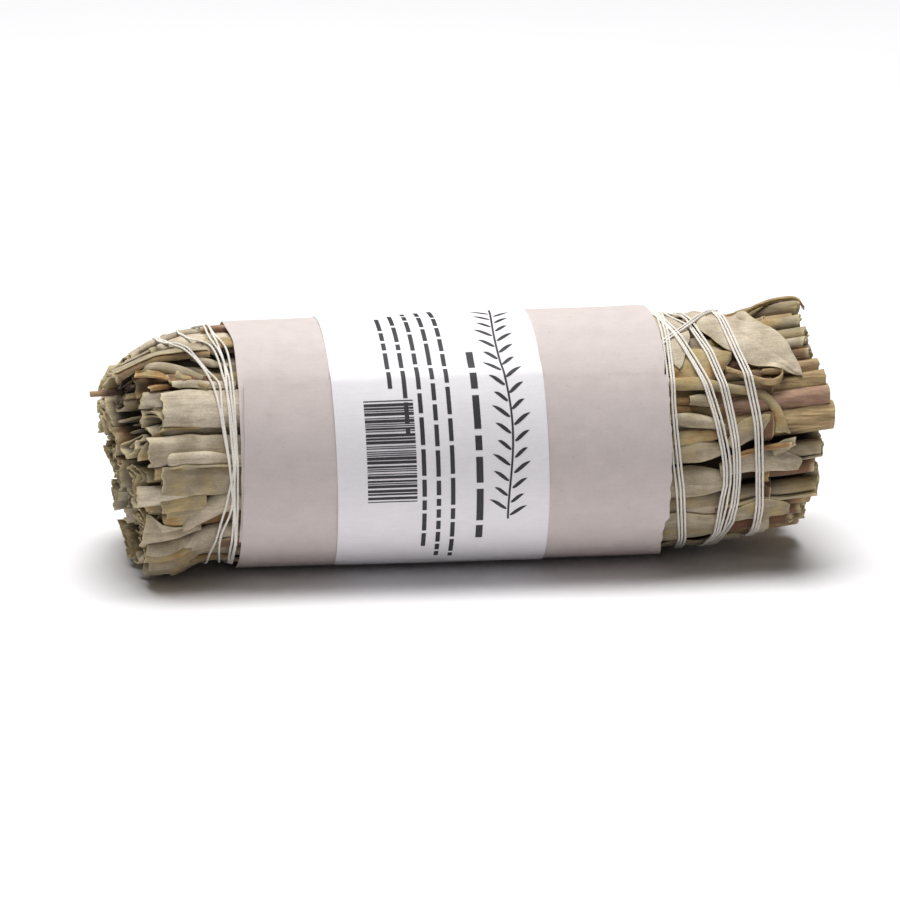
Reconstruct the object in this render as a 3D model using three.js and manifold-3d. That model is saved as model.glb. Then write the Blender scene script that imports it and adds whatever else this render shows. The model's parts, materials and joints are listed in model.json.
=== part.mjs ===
// A bundle of dried white sage, tied with cotton thread and held in a paper band with a pasted label.
// Lengths are in millimetres and angles in degrees. X runs along the bundle, Z points up, and the band
// rests on z = 0. Angles are measured round the bundle from its front (-Y) upwards.
import * as THREE from 'three';
import { mergeVertices } from 'three/addons/utils/BufferGeometryUtils.js';
import Module from 'manifold-3d';

const wasm = await Module();
wasm.setup();

// Paper band, wound just over once, with its free edge along the front
const BAND_HALF_LENGTH = 46.7;
const BAND_RADIUS_LEFT = 27.0;
const BAND_RADIUS_RIGHT = 27.7;
const BAND_WALL = 0.6;
const BAND_FLAT_DEPTH = 0.3;
const BAND_PRESSED_HEIGHT = 1.1;
const FLAP_EDGE_ANGLE = 44;
const FLAP_RAMP = 80;
const FLAP_RISE = 0.4;
const FLAP_SHIFT = 0.8;
const BAND_SIDES = 36;
const TORN_EDGE_DEPTH = 0.35;

// Label pasted round the band
const LABEL_LEFT = -26.1;
const LABEL_RIGHT = 20.3;
const LABEL_FROM = -70;
const LABEL_TO = 150;
const LABEL_WALL = 0.4;
const LABEL_SIDES = 22;

// Clearances
const GAP = 0.3;
const CELL_GAP = 0.4;

// Outline of the herb bundle: place along X, radius to the outside of its leaves, height of its middle
const PROFILE = [
  [-80, 25.2, 26.2],
  [-70, 25.9, 26.3],
  [-64, 26.5, 26.8],
  [-57, 26.0, 27.2],
  [-50.5, 25.4, 27.0],
  [-46, 25.7, 26.8],
  [46, 26.3, 27.4],
  [50, 25.9, 27.3],
  [56, 26.0, 27.4],
  [61, 25.3, 27.6],
  [66, 24.8, 28.0],
  [72, 25.2, 28.9],
  [86, 25.7, 30.6],
];
const OUTER_LEAF_LAYER = 1.35;

// Leafy stems: rings of cells across the bundle
const RING_RADII = [0, 8.7, 16.9];
const OUTER_STEMS = 13;
const MIDDLE_STEMS = 7;
const INNER_STEMS = 3;
const CELL_UNEVENNESS = 0.11;
const SEED = 20417;

// Cut ends: the left end is a shallow dome that stands out further at the top, the right end is nearly flat.
// Each cut back of the dome is [depth, middle angle, half width in degrees].
const LEFT_RIM_END = -68;
const LEFT_DOME_RISE = 5;
const LEFT_DOME_TILT = 4.5;
const LEFT_CUT_BACKS = [[2.6, -55, 60], [1.6, 20, 45]];
const LEFT_DOME_POWER = 4;
const LEFT_CREASE_DEPTH = 7;
const TOP_SLOPE_START = -51;
const TOP_SLOPE_LENGTH = 19;
const TOP_SLOPE_POWER = 1.5;
const TOP_SLOPE_SHARE = 0.23;
const TOP_SLOPE_MIDDLE = 105;
const TOP_SLOPE_HALF_WIDTH = 55;
const LOW_SWELL_START = -53.5;
const LOW_SWELL_LENGTH = 8;
const LOW_SWELL_STRETCH = 0.29;
const LOW_SWELL_MIDDLE = -50;
const LOW_SWELL_HALF_WIDTH = 40;
const RIGHT_END = 81.6;
const RIGHT_FRONT_REACH = 2.2;
const RIGHT_ROD_LENGTH = 13;
const SUNK = 2.5;
const CORE_END_TAPER = 0.5;
const CORE_END_LENGTH = 1.5;
const ROD_TAPER = 0.92;
const ROD_SIDES = 6;
const END_UNEVENNESS = 3;

// Leaves and thread
const RIBBON_THICKNESS = 0.8;
const ROLL_STEPS = 5;
const ROLL_SWEEP = 460;
const FOLD_WANDER = 0.14;
const FOLD_WAVE_LENGTH = 4.5;
const CUT_UNEVENNESS = 0.7;
const LEAF_THICKNESS = 0.7;
const LEAF_DEPTH = 0.5;
const LEAF_EDGE_WAVE = 0.07;
const LEAF_EDGE_WAVES = 9;
const LEAF_COLUMNS = 5;
const LEAF_ROWS = 2;
const LEAF_ON_LEAF_GAP = 0.35;
const THREAD_RADIUS = 0.3;
const THREAD_LIFT = 0.8;
const THREAD_SIDES = 4;
const THREAD_STEPS_PER_TURN = 18;
const STRAND_PITCH = 0.75;

const PAPER = { color: 0xd6cdc6, roughness: 0.85, metalness: 0 };
const LABEL_PAPER = { color: 0xeeebe9, roughness: 0.7, metalness: 0 };
const COTTON = { color: 0xf1ece2, roughness: 0.9, metalness: 0 };
const PALE_LEAF = { color: 0xb4a592, roughness: 0.9, metalness: 0 };
const GREY_LEAF = { color: 0x8f8570, roughness: 0.9, metalness: 0 };
const GREEN_LEAF = { color: 0x9a9070, roughness: 0.9, metalness: 0 };
const BROWN_LEAF = { color: 0x8a7455, roughness: 0.9, metalness: 0 };
const LEAF_FINISHES = [PALE_LEAF, GREY_LEAF, GREEN_LEAF, BROWN_LEAF];

const radians = THREE.MathUtils.degToRad;
const lerp = THREE.MathUtils.lerp;
const cosine = (angle) => Math.cos(radians(angle));

// A seeded sequence of numbers between 0 and 1
function seeded(seed) {
  let state = seed;
  return () => {
    state = (state * 1664525 + 1013904223) % 4294967296;
    return state / 4294967296;
  };
}

// Radius and middle height of the herb bundle at x
function profileAt(x) {
  const last = PROFILE.length - 1;
  let i = 0;
  while (i < last - 1 && x > PROFILE[i + 1][0]) i += 1;
  const [x0, radius0, height0] = PROFILE[i];
  const [x1, radius1, height1] = PROFILE[i + 1];
  const t = THREE.MathUtils.clamp((x - x0) / (x1 - x0), 0, 1);
  return { radius: lerp(radius0, radius1, t), height: lerp(height0, height1, t) };
}

const stemRadius = (x) => profileAt(x).radius - OUTER_LEAF_LAYER;

// Fades from 1 at the middle angle to 0 at a half width from it
function fade(angle, middle, halfWidth) {
  const turned = ((angle - middle + 180) % 360 + 360) % 360 - 180;
  return (1 + cosine(180 * Math.min(Math.abs(turned) / halfWidth, 1))) / 2;
}

// The distance from the middle, after the top slopes down and the lower front swells at the left end
function shapedRadius(x, angle, radius) {
  const down = Math.max(0, TOP_SLOPE_START - x) / TOP_SLOPE_LENGTH;
  const slope = TOP_SLOPE_SHARE * down ** TOP_SLOPE_POWER * fade(angle, TOP_SLOPE_MIDDLE, TOP_SLOPE_HALF_WIDTH);
  const out = THREE.MathUtils.clamp((LOW_SWELL_START - x) / LOW_SWELL_LENGTH, 0, 1);
  const swell = LOW_SWELL_STRETCH * out * out * (3 - 2 * out) * fade(angle, LOW_SWELL_MIDDLE, LOW_SWELL_HALF_WIDTH);
  return radius * (1 - slope) + swell * Math.max(0, radius - RING_RADII[2]);
}

// A point at a place along X, an angle and a distance from the middle of the herb bundle
function around(x, angle, radius, height = profileAt(x).height) {
  const a = radians(angle);
  const kept = shapedRadius(x, angle, radius);
  return new THREE.Vector3(x, -kept * Math.cos(a), height + kept * Math.sin(a));
}

function geometryFrom(points, indices) {
  const geometry = new THREE.BufferGeometry();
  const numbers = points.flatMap((p) => [p.x, p.y, p.z]);
  geometry.setAttribute('position', new THREE.Float32BufferAttribute(numbers, 3));
  geometry.setIndex(indices);
  return geometry;
}

// A closed solid through equal outlines, each an array of points in a plane across X, in order of x
function loft(outlines) {
  const flat = (ring) => ring.map((p) => new THREE.Vector2(p.y, p.z));
  const clockwise = THREE.ShapeUtils.isClockWise(flat(outlines[0]));
  const rings = clockwise ? outlines.map((ring) => [...ring].reverse()) : outlines;
  const count = rings[0].length;
  const indices = [];
  for (let k = 0; k < rings.length - 1; k += 1) {
    for (let i = 0; i < count; i += 1) {
      const j = (i + 1) % count;
      const near = k * count;
      const far = near + count;
      indices.push(near + i, near + j, far + j, near + i, far + j, far + i);
    }
  }
  const cap = (ring) => THREE.ShapeUtils.triangulateShape(flat(ring), []);
  const last = (rings.length - 1) * count;
  cap(rings[0]).forEach(([a, b, c]) => indices.push(a, c, b));
  cap(rings[rings.length - 1]).forEach(([a, b, c]) => indices.push(last + a, last + b, last + c));
  return geometryFrom(rings.flat(), indices);
}

// A closed thin blade: both faces have the same grid and the same diagonals
function blade(columns, rows, surface, thickness) {
  const step = 0.01;
  const top = [];
  const bottom = [];
  for (let i = 0; i <= columns; i += 1) {
    for (let j = 0; j <= rows; j += 1) {
      const u = i / columns;
      const v = j / rows;
      const middle = surface(u, v);
      const along = surface(u + step, v).sub(surface(u - step, v));
      const across = surface(u, v + step).sub(surface(u, v - step));
      const normal = along.cross(across).setLength(thickness / 2);
      top.push(middle.clone().add(normal));
      bottom.push(middle.clone().sub(normal));
    }
  }
  const id = (i, j) => i * (rows + 1) + j;
  const under = top.length;
  const indices = [];
  for (let i = 0; i < columns; i += 1) {
    for (let j = 0; j < rows; j += 1) {
      const [a, b, c, d] = [id(i, j), id(i + 1, j), id(i + 1, j + 1), id(i, j + 1)];
      indices.push(a, b, c, a, c, d);
      indices.push(under + a, under + c, under + b, under + a, under + d, under + c);
    }
  }
  const rim = [];
  for (let i = 0; i < columns; i += 1) rim.push(id(i, 0));
  for (let j = 0; j < rows; j += 1) rim.push(id(columns, j));
  for (let i = columns; i > 0; i -= 1) rim.push(id(i, rows));
  for (let j = rows; j > 0; j -= 1) rim.push(id(0, j));
  rim.forEach((p, i) => {
    const q = rim[(i + 1) % rim.length];
    indices.push(p, under + p, under + q, p, under + q, q);
  });
  return geometryFrom([...top, ...bottom], indices);
}

// Joining and cutting
function solidOf(geometry) {
  const plain = geometry.clone();
  plain.deleteAttribute('normal');
  plain.deleteAttribute('uv');
  const merged = mergeVertices(plain, 1e-4);
  return new wasm.Manifold(new wasm.Mesh({
    numProp: 3,
    vertProperties: merged.attributes.position.array,
    triVerts: Uint32Array.from(merged.index.array),
  }));
}

function geometryOf(solid) {
  const mesh = solid.getMesh();
  const geometry = new THREE.BufferGeometry();
  geometry.setAttribute('position', new THREE.BufferAttribute(Float32Array.from(mesh.vertProperties), 3));
  geometry.setIndex(new THREE.BufferAttribute(Uint32Array.from(mesh.triVerts), 1));
  return geometry;
}

const fuse = (geometries) => geometries.map(solidOf).reduce((whole, piece) => whole.add(piece));

// The largest body of a solid, so that a scrap cut loose is dropped
function largestBody(solid) {
  const bodies = solid.decompose();
  return bodies.reduce((best, body) => (body.volume() > best.volume() ? body : best));
}

// The outline of a folded strip with a given thickness along a line of points in a plane across X
function stripOutline(line, thickness) {
  const sides = line.map((p, i) => {
    const before = line[Math.max(i - 1, 0)];
    const after = line[Math.min(i + 1, line.length - 1)];
    const inward = p.clone().sub(before);
    const outward = after.clone().sub(p);
    if (i === 0) inward.copy(outward);
    if (i === line.length - 1) outward.copy(inward);
    const across = (d) => new THREE.Vector3(0, -d.z, d.y).normalize();
    const bisector = across(inward).add(across(outward)).normalize();
    const fold = Math.max(bisector.dot(across(inward)), 0.5);
    return bisector.multiplyScalar(thickness / 2 / fold);
  });
  const left = line.map((p, i) => p.clone().add(sides[i]));
  const right = line.map((p, i) => p.clone().sub(sides[i]));
  return [...left, ...right.reverse()];
}

// Cells across the bundle
function ringOfCells(count, innerRadius, outerRadius, offset) {
  const pitch = 360 / count;
  const uneven = (i) => CELL_UNEVENNESS * Math.sin(7.3 * i + count);
  const edges = Array.from({ length: count }, (_, i) => offset + pitch * (i + uneven(i)));
  return edges.map((from, i) => ({
    from,
    to: i === count - 1 ? edges[0] + 360 : edges[i + 1],
    innerRadius,
    outerRadius,
  }));
}

// The angle across a cell at a radius: share runs from -1 at one side wall to 1 at the other
function angleIn(cell, share, radius) {
  const margin = THREE.MathUtils.radToDeg(CELL_GAP / 2 / Math.max(radius, 1));
  return (cell.from + cell.to) / 2 + share * ((cell.to - cell.from) / 2 - margin);
}

const pointIn = (cell, share, radius, x) => around(x, angleIn(cell, share, radius), radius);

// Outer face of an outer stem: two overlapping folds, whose step wanders along the bundle.
// Each entry is [share across the cell, drop below the outside].
function outerFace(cell, x) {
  const radius = cell.outerRadius(x);
  const wander = FOLD_WANDER * Math.sin(x / FOLD_WAVE_LENGTH + cell.from);
  const step = [[-0.3 + wander, 0], [0.05 + wander, 1.3]];
  const folds = [[-1, 1.5], [-0.8, 0.5], ...step, [0.5, 0.3], [0.85, 0.5], [1, 1.5]];
  return folds.map(([share, drop]) => pointIn(cell, share, radius - drop, x));
}

function roundFace(cell, x, facets) {
  const radius = cell.outerRadius(x) - CELL_GAP / 2;
  return Array.from({ length: facets + 1 }, (_, i) => pointIn(cell, -1 + (2 * i) / facets, radius, x));
}

function innerFace(cell, x, facets) {
  if (cell.innerRadius === 0) {
    const corner = CELL_GAP / Math.sin(radians((cell.to - cell.from) / 2));
    return [around(x, (cell.from + cell.to) / 2, corner)];
  }
  const half = radians((cell.to - cell.from) / facets / 2);
  const radius = (cell.innerRadius + CELL_GAP / 2) / Math.cos(half);
  return Array.from({ length: facets + 1 }, (_, i) => pointIn(cell, 1 - (2 * i) / facets, radius, x));
}

// The packed middle of a leafy stem, which narrows at its right end
function stemCore(cell, stations) {
  const outline = (x) => [...cell.face(cell, x), ...innerFace(cell, x, cell.innerFacets)];
  const end = stations[stations.length - 1];
  const heart = depthPoint(cell, [0, 0.5], end);
  const narrowed = outline(end).map((p) => {
    const point = p.lerp(heart, CORE_END_TAPER);
    point.x = end + CORE_END_LENGTH;
    return point;
  });
  return loft([...stations.map(outline), narrowed]);
}

// Shapes that leaves take at a cut end, as lines of [share across the cell, share of its depth]
const foldedWrap = [
  [-0.86, 0.35], [-0.88, 0.86], [-0.42, 0.95], [0.1, 0.97], [0.5, 0.93], [0.88, 0.84], [0.84, 0.4],
];

function creased(random, folds, reach) {
  return Array.from({ length: folds + 1 }, (_, i) => {
    const share = lerp(-reach, reach, i / folds);
    const depth = i % 2 ? lerp(0.12, 0.3, random()) : lerp(0.62, 0.76, random());
    return [share, depth];
  });
}

function rolled(random, steps, turns, reach) {
  const start = 360 * random();
  return Array.from({ length: steps + 1 }, (_, i) => {
    const size = lerp(1, 0.36, i / steps);
    const angle = radians(start + (360 * turns * i) / steps);
    return [reach * size * Math.cos(angle), 0.5 + 0.38 * size * Math.sin(angle)];
  });
}

const depthPoint = (cell, [share, depth], x) =>
  pointIn(cell, share, lerp(cell.innerRadius, cell.outerRadius(x), depth), x);

// A folded leaf along a stem, with an uneven cut edge at its left
function leafStrip(cell, line, from, to, phase) {
  const outline = (x) => stripOutline(line.map((p) => depthPoint(cell, p, x)), RIBBON_THICKNESS);
  const ends = [outline(from), outline(to)];
  ends[0].forEach((p, i) => {
    p.x += CUT_UNEVENNESS * Math.sin(phase + 1.7 * i);
  });
  return loft(ends);
}

// A round stem that stands out of the right end
function rod(cell, share, depth, radius, from, to) {
  const outline = (x, size) => {
    const middle = depthPoint(cell, [share, depth], x);
    return Array.from({ length: ROD_SIDES }, (_, i) => {
      const a = (2 * Math.PI * i) / ROD_SIDES;
      return new THREE.Vector3(x, middle.y + size * Math.cos(a), middle.z + size * Math.sin(a));
    });
  };
  return loft([outline(from, radius), outline(to, radius * ROD_TAPER)]);
}

// A leaf rolled up like a scroll, that stands out of the right end
function rollAt(cell, share, depth, radius, from, to, random) {
  const start = 360 * random();
  const line = (x) => Array.from({ length: ROLL_STEPS + 1 }, (_, i) => {
    const middle = depthPoint(cell, [share, depth], x);
    const size = radius * lerp(1, 0.4, i / ROLL_STEPS) - RIBBON_THICKNESS / 2;
    const a = radians(start + (ROLL_SWEEP * i) / ROLL_STEPS);
    return new THREE.Vector3(x, middle.y + size * Math.cos(a), middle.z + size * Math.sin(a));
  });
  return loft([from, to].map((x) => stripOutline(line(x), RIBBON_THICKNESS)));
}

// Where a leaf is cut at the left, from its distance to the middle as a share of the bundle's radius
// and its angle
function domeEnd(share, angle) {
  const rise = LEFT_DOME_RISE + LEFT_DOME_TILT * share * Math.sin(radians(angle));
  const back = LEFT_CUT_BACKS.reduce((sum, [depth, middle, half]) => sum + depth * fade(angle, middle, half), 0);
  return LEFT_RIM_END - rise * (1 - share ** LEFT_DOME_POWER) + back * share;
}

const rightEnd = (angle, random) =>
  RIGHT_END + RIGHT_FRONT_REACH * cosine(angle) - END_UNEVENNESS * random();

function leafyStem(cell, random) {
  const middleAngle = (cell.from + cell.to) / 2;
  const leftCore = domeEnd(cell.leftLines[0].share, middleAngle) + LEFT_CREASE_DEPTH;
  const rightCore = RIGHT_END - RIGHT_ROD_LENGTH + 2 * random();
  const stations = [leftCore, ...cell.stations, rightCore];
  const pieces = [stemCore(cell, stations)];
  cell.leftLines.forEach(({ line, share }) => {
    const cut = domeEnd(share, middleAngle) + 2 * random();
    pieces.push(leafStrip(cell, line, cut, leftCore + SUNK, 6 * random()));
  });
  cell.rods.forEach(([share, depth, radius, kind, reach]) => {
    const end = rightEnd(middleAngle, random);
    const to = reach ?? end;
    const from = rightCore - SUNK;
    if (kind === 'roll') pieces.push(rollAt(cell, share, depth, radius, from, to, random));
    else pieces.push(rod(cell, share, depth, radius, from, to));
  });
  return largestBody(fuse(pieces));
}

// Broad leaves on the outside. A leaf's spine is a list of [x, angle], and its half widths are in mm.
function spineOf(leaf) {
  const points = leaf.spine.map(([x, angle]) => new THREE.Vector3(x, radians(angle) * BAND_RADIUS_LEFT, 0));
  return new THREE.CatmullRomCurve3(points, false, 'centripetal');
}

function outerLeaf(leaf, grow = 0) {
  const curve = spineOf(leaf);
  const widths = new THREE.SplineCurve(leaf.half.map((w, i) => new THREE.Vector2(i, w)));
  const surface = (u, v) => {
    const t = THREE.MathUtils.clamp(u, 0, 1);
    const past = (u - t) * curve.getLength();
    const middle = curve.getPoint(t);
    const along = curve.getTangent(t);
    const waved = 1 + LEAF_EDGE_WAVE * Math.sin(LEAF_EDGE_WAVES * t + leaf.spine[0][1]);
    const half = widths.getPoint(t).y * waved + grow;
    const side = (2 * v - 1) * half;
    const end = (2 * t - 1) ** 7 * grow + past;
    const x = middle.x - along.y * side + along.x * end;
    const run = middle.y + along.x * side + along.y * end;
    return around(x, THREE.MathUtils.radToDeg(run / BAND_RADIUS_LEFT), profileAt(x).radius - LEAF_DEPTH);
  };
  return solidOf(blade(LEAF_COLUMNS, LEAF_ROWS, surface, LEAF_THICKNESS + 3 * grow));
}

// Each leaf is cut back where a later one lies over it
function layLeaves(leaves) {
  return leaves.map((leaf, i) => {
    let solid = outerLeaf(leaf);
    leaves.slice(i + 1).forEach((upper) => {
      solid = solid.subtract(outerLeaf(upper, LEAF_ON_LEAF_GAP));
    });
    return largestBody(solid);
  });
}

// Left leaves run from their cut ends to under the band: middle angle, half width, cut end
const LEFT_LEAF_ROOT = -43.5;
const LEFT_LEAF_ROWS = [
  [36, 4.7, -65], [14, 3.4, -67.5], [-1, 3.3, -65], [-18, 3.6, -66], [-40, 5.6, -66],
  [-72, 6.6, -66], [-108, 7.6, -67], [-146, 7.6, -65.5], [176, 7.4, -67], [143, 7.2, -66],
  [111, 6.6, -67], [82, 5.6, -63], [59, 4.0, -68.5],
];
const leftLeaves = LEFT_LEAF_ROWS.map(([angle, half, cut], i) => ({
  spine: [[LEFT_LEAF_ROOT, angle], [-56, angle + 2.4 * (i % 3) - 2.4], [cut, angle + 1.5 * (i % 2)]],
  half: [half * 0.92, half * 1.02, half],
}));

// Right leaves, from the lowest layer to the highest
const rightLeaves = [
  { spine: [[44, 158], [56, 160], [70, 152]], half: [5.5, 8, 1] },
  { spine: [[44, 201], [55, 199], [66, 206]], half: [6, 8.5, 1.2] },
  { spine: [[44, -116], [56, -118], [71, -112]], half: [5, 8, 1] },
  { spine: [[44, -80], [54, -80], [66, -74]], half: [6, 7, 1] },
  { spine: [[44, -44], [52, -45], [59.5, -44]], half: [5.5, 6, 3.4] },
  { spine: [[62, -39], [68, -34], [74.5, -39]], half: [1.5, 4.6, 1.8] },
  { spine: [[44, -12], [52, -11], [60.5, -12]], half: [3.2, 4, 2.2] },
  { spine: [[60, -4], [67, -2], [75.5, -8]], half: [1.4, 3.7, 1.6] },
  { spine: [[44, 4], [52, 5], [59, 6]], half: [2, 2.7, 1.4] },
  { spine: [[44, 17], [52, 18], [59, 20]], half: [1.4, 2.6, 0.8] },
  { spine: [[60, 7], [64.5, 15], [69, 20]], half: [1.2, 2.6, 0.5] },
  { spine: [[47, 47], [54, 50], [62, 57]], half: [1.2, 5.2, 1] },
  { spine: [[44, 34.5], [55, 35], [64, 30], [72, 6]], half: [1.4, 1.7, 1.6, 0.6] },
  { spine: [[44, 118], [56, 122], [69, 114]], half: [5, 8.6, 1] },
  { spine: [[56, 96], [62, 80], [69, 58], [76.5, 38]], half: [3.4, 6.2, 5.2, 0.6] },
  { spine: [[46, 92], [49, 72], [49.8, 47]], half: [4, 4.4, 0.6] },
];

// Thread
class Winding extends THREE.Curve {
  constructor(fromTurn, toTurn, placeAt, lift) {
    super();
    Object.assign(this, { fromTurn, toTurn, placeAt, lift });
  }

  getPoint(t, target = new THREE.Vector3()) {
    const turn = lerp(this.fromTurn, this.toTurn, t);
    const x = this.placeAt(turn, 360 * turn);
    return target.copy(around(x, 360 * turn, profileAt(x).radius + this.lift));
  }
}

function threadTube(fromTurn, toTurn, placeAt, lift = THREAD_LIFT) {
  const section = new THREE.Shape();
  for (let i = 0; i < THREAD_SIDES; i += 1) {
    const a = (2 * Math.PI * (i + 0.5)) / THREAD_SIDES;
    const [x, y] = [THREAD_RADIUS * 1.1 * Math.cos(a), THREAD_RADIUS * 1.1 * Math.sin(a)];
    if (i === 0) section.moveTo(x, y);
    else section.lineTo(x, y);
  }
  section.closePath();
  const steps = Math.ceil((toTurn - fromTurn) * THREAD_STEPS_PER_TURN);
  const path = new Winding(fromTurn, toTurn, placeAt, lift);
  return new THREE.ExtrudeGeometry(section, { steps, extrudePath: path });
}

const LEFT_TURNS = 6;
const LEFT_THREAD_START = -48.1;
function leftThreadPlace(turn, angle) {
  const fan = (1 - cosine(angle - 10)) / 2;
  return LEFT_THREAD_START - STRAND_PITCH * turn - 0.17 * turn ** 2 * fan;
}

const slantedRing = (middle, reach, peak) => (angle) => middle + reach * cosine(angle - peak);
const ringA = slantedRing(49.6, -1.2, 90);
const ringB = slantedRing(57.0, 4.2, -25);
const ringC = slantedRing(64.6, 3.0, -30);
const stepped = (ring, first) => (turn, angle) => ring(angle) + STRAND_PITCH * (turn - first);

function rightThread() {
  const tubes = [
    threadTube(0, 3, stepped(ringA, 1.5)),
    threadTube(0, 5, stepped(ringB, 2.5)),
    threadTube(0, 3, stepped(ringC, 1.5)),
    threadTube(0.16, 0.29, (turn) => lerp(48.2, 63.2, (turn - 0.16) / 0.13)),
  ];
  return largestBody(fuse(tubes));
}

// Band and label
const bandRadius = (x) => {
  const share = (x + BAND_HALF_LENGTH) / (2 * BAND_HALF_LENGTH);
  return lerp(BAND_RADIUS_LEFT, BAND_RADIUS_RIGHT, share);
};

// How far the free flap stands over the first turn, at an angle from its edge downwards
function flapRise(angle) {
  const below = ((FLAP_EDGE_ANGLE - angle) % 360 + 360) % 360;
  return below > FLAP_RAMP ? 0 : FLAP_RISE * (1 - below / FLAP_RAMP);
}

const bandPoint = (x, angle, rise) =>
  around(x, angle, bandRadius(x) + rise, bandRadius(x) - BAND_FLAT_DEPTH);

// Where the bundle's weight presses the band flat against what it lies on
function pressed(point, floor) {
  if (point.z < floor + BAND_PRESSED_HEIGHT) point.z = floor;
  return point;
}

function paperBand() {
  const pitch = 360 / BAND_SIDES;
  const angles = Array.from({ length: BAND_SIDES }, (_, i) => FLAP_EDGE_ANGLE - 0.02 - pitch * i);
  const torn = (angle, side) => {
    const onFlap = flapRise(angle) > 0 ? FLAP_SHIFT : 0;
    const ragged = side > 0 ? TORN_EDGE_DEPTH * Math.sin(angle * 0.31) * Math.sin(angle * 0.083) : 0;
    return side * BAND_HALF_LENGTH + onFlap + ragged - FLAP_SHIFT / 2;
  };
  const outer = (x, side) => {
    const ring = angles.map((angle) => {
      const edge = x + torn(angle, side) - side * BAND_HALF_LENGTH;
      return pressed(bandPoint(edge, angle, flapRise(angle)), 0);
    });
    const step = FLAP_EDGE_ANGLE + 0.5;
    ring.unshift(bandPoint(x - FLAP_SHIFT / 2, step, 0));
    return ring;
  };
  const inner = (x) => angles.map((angle) => pressed(bandPoint(x, angle, -BAND_WALL), BAND_WALL));
  const sleeve = loft([outer(-BAND_HALF_LENGTH, -1), outer(BAND_HALF_LENGTH, 1)]);
  const hollow = loft([inner(-BAND_HALF_LENGTH - 3), inner(BAND_HALF_LENGTH + 3)]);
  return solidOf(sleeve).subtract(solidOf(hollow));
}

function label() {
  const angleAt = (_, i) => lerp(LABEL_FROM, LABEL_TO, i / LABEL_SIDES);
  const angles = Array.from({ length: LABEL_SIDES + 1 }, angleAt);
  const rise = (angle) => Math.max(flapRise(angle), flapRise(angle - 6));
  const outline = (x) => {
    const under = angles.map((angle) => bandPoint(x, angle, rise(angle) + GAP));
    const over = angles.map((angle) => bandPoint(x, angle, rise(angle) + GAP + LABEL_WALL));
    return [...under, ...over.reverse()];
  };
  return loft([outline(LABEL_LEFT), outline(LABEL_RIGHT)]);
}

// Assembly
const group = new THREE.Group();
function addPiece(name, geometry, finish) {
  const mesh = new THREE.Mesh(geometry, new THREE.MeshStandardMaterial(finish));
  mesh.name = name;
  group.add(mesh);
}
function addNumbered(name, i, solid, finish) {
  addPiece(`${name}_${String(i + 1).padStart(2, '0')}`, geometryOf(solid), LEAF_FINISHES[finish % 4]);
}

const random = seeded(SEED);
const outerStations = [-57, -50.5, -46, 46, 50, 61, 66];
const innerStations = [-57, 46, 61];
const outerRods = [
  [[-0.5, 0.68, 2.3, 'stem'], [0.5, 0.7, 2.3, 'roll'], [0.05, 0.27, 1.8, 'stem']],
  [[-0.48, 0.7, 2.3, 'roll'], [0.46, 0.68, 2.4, 'stem'], [-0.1, 0.26, 1.6, 'stem']],
  [[-0.46, 0.7, 2.1, 'stem'], [0.5, 0.69, 2.3, 'stem'], [0, 0.25, 1.7, 'stem']],
];
// Those that show in front, by the number of their cell, with where they end
const frontRods = {
  0: [[-0.48, 0.65, 2.7, 'stem', 83.2], [0.47, 0.7, 2.3, 'roll', 82.2], [0.05, 0.27, 1.8, 'stem']],
  1: [[-0.5, 0.7, 2.2, 'stem', 81.7], [0.47, 0.69, 2.2, 'roll', 79.6], [-0.1, 0.26, 1.6, 'stem']],
  2: [[-0.46, 0.7, 2.1, 'stem', 79], [0.48, 0.69, 2.2, 'stem', 78.4], [0, 0.25, 1.7, 'stem']],
  11: [[0.46, 0.69, 2.4, 'stem', 79.6], [-0.46, 0.7, 2.1, 'stem', 78.2], [0, 0.25, 1.7, 'stem']],
  12: [[0.46, 0.7, 2.2, 'roll', 80.4], [-0.5, 0.7, 2.1, 'stem', 80], [0, 0.26, 1.7, 'stem']],
};
const middleRods = [
  [[-0.52, 0.3, 1.7, 'stem'], [-0.46, 0.75, 1.9, 'stem'], [0.5, 0.7, 2.2, 'roll'], [0.4, 0.24, 1.6, 'stem']],
  [[-0.5, 0.68, 2.3, 'stem'], [-0.4, 0.22, 1.5, 'stem'], [0.3, 0.6, 2.1, 'stem'], [0.72, 0.3, 1.2, 'stem']],
];
const innerRods = [[-0.5, 0.72, 1.9, 'stem'], [0.45, 0.7, 2.1, 'stem'], [0, 0.4, 1.5, 'stem']];

ringOfCells(OUTER_STEMS, RING_RADII[2], stemRadius, 8).forEach((edges, i) => {
  const cell = {
    ...edges,
    face: outerFace,
    innerFacets: 2,
    stations: outerStations,
    leftLines: [
      { line: foldedWrap, share: 0.95 },
      { line: creased(random, 4, 0.6), share: 0.8 },
    ],
    rods: frontRods[i] ?? outerRods[i % outerRods.length],
  };
  addNumbered('leafy_stem_outer', i, leafyStem(cell, random), i);
});

ringOfCells(MIDDLE_STEMS, RING_RADII[1], () => RING_RADII[2], 20).forEach((edges, i) => {
  const cell = {
    ...edges,
    face: (c, x) => roundFace(c, x, 3),
    innerFacets: 2,
    stations: innerStations,
    leftLines: [
      { line: i % 2 ? rolled(random, 8, 1.25, 0.62) : creased(random, 6, 0.84), share: 0.55 },
    ],
    rods: middleRods[i % 2],
  };
  addNumbered('leafy_stem_middle', i, leafyStem(cell, random), i + 1);
});

const towardsRim = (line) => line.map(([across, depth]) => [across, lerp(0.3, 1, depth)]);
ringOfCells(INNER_STEMS, RING_RADII[0], () => RING_RADII[1], 50).forEach((edges, i) => {
  const cell = {
    ...edges,
    face: (c, x) => roundFace(c, x, 5),
    stations: innerStations,
    leftLines: [{ line: towardsRim(creased(random, 5, 0.5)), share: 0.2 }],
    rods: innerRods,
  };
  addNumbered('leafy_stem_inner', i, leafyStem(cell, random), i + 2);
});

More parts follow.
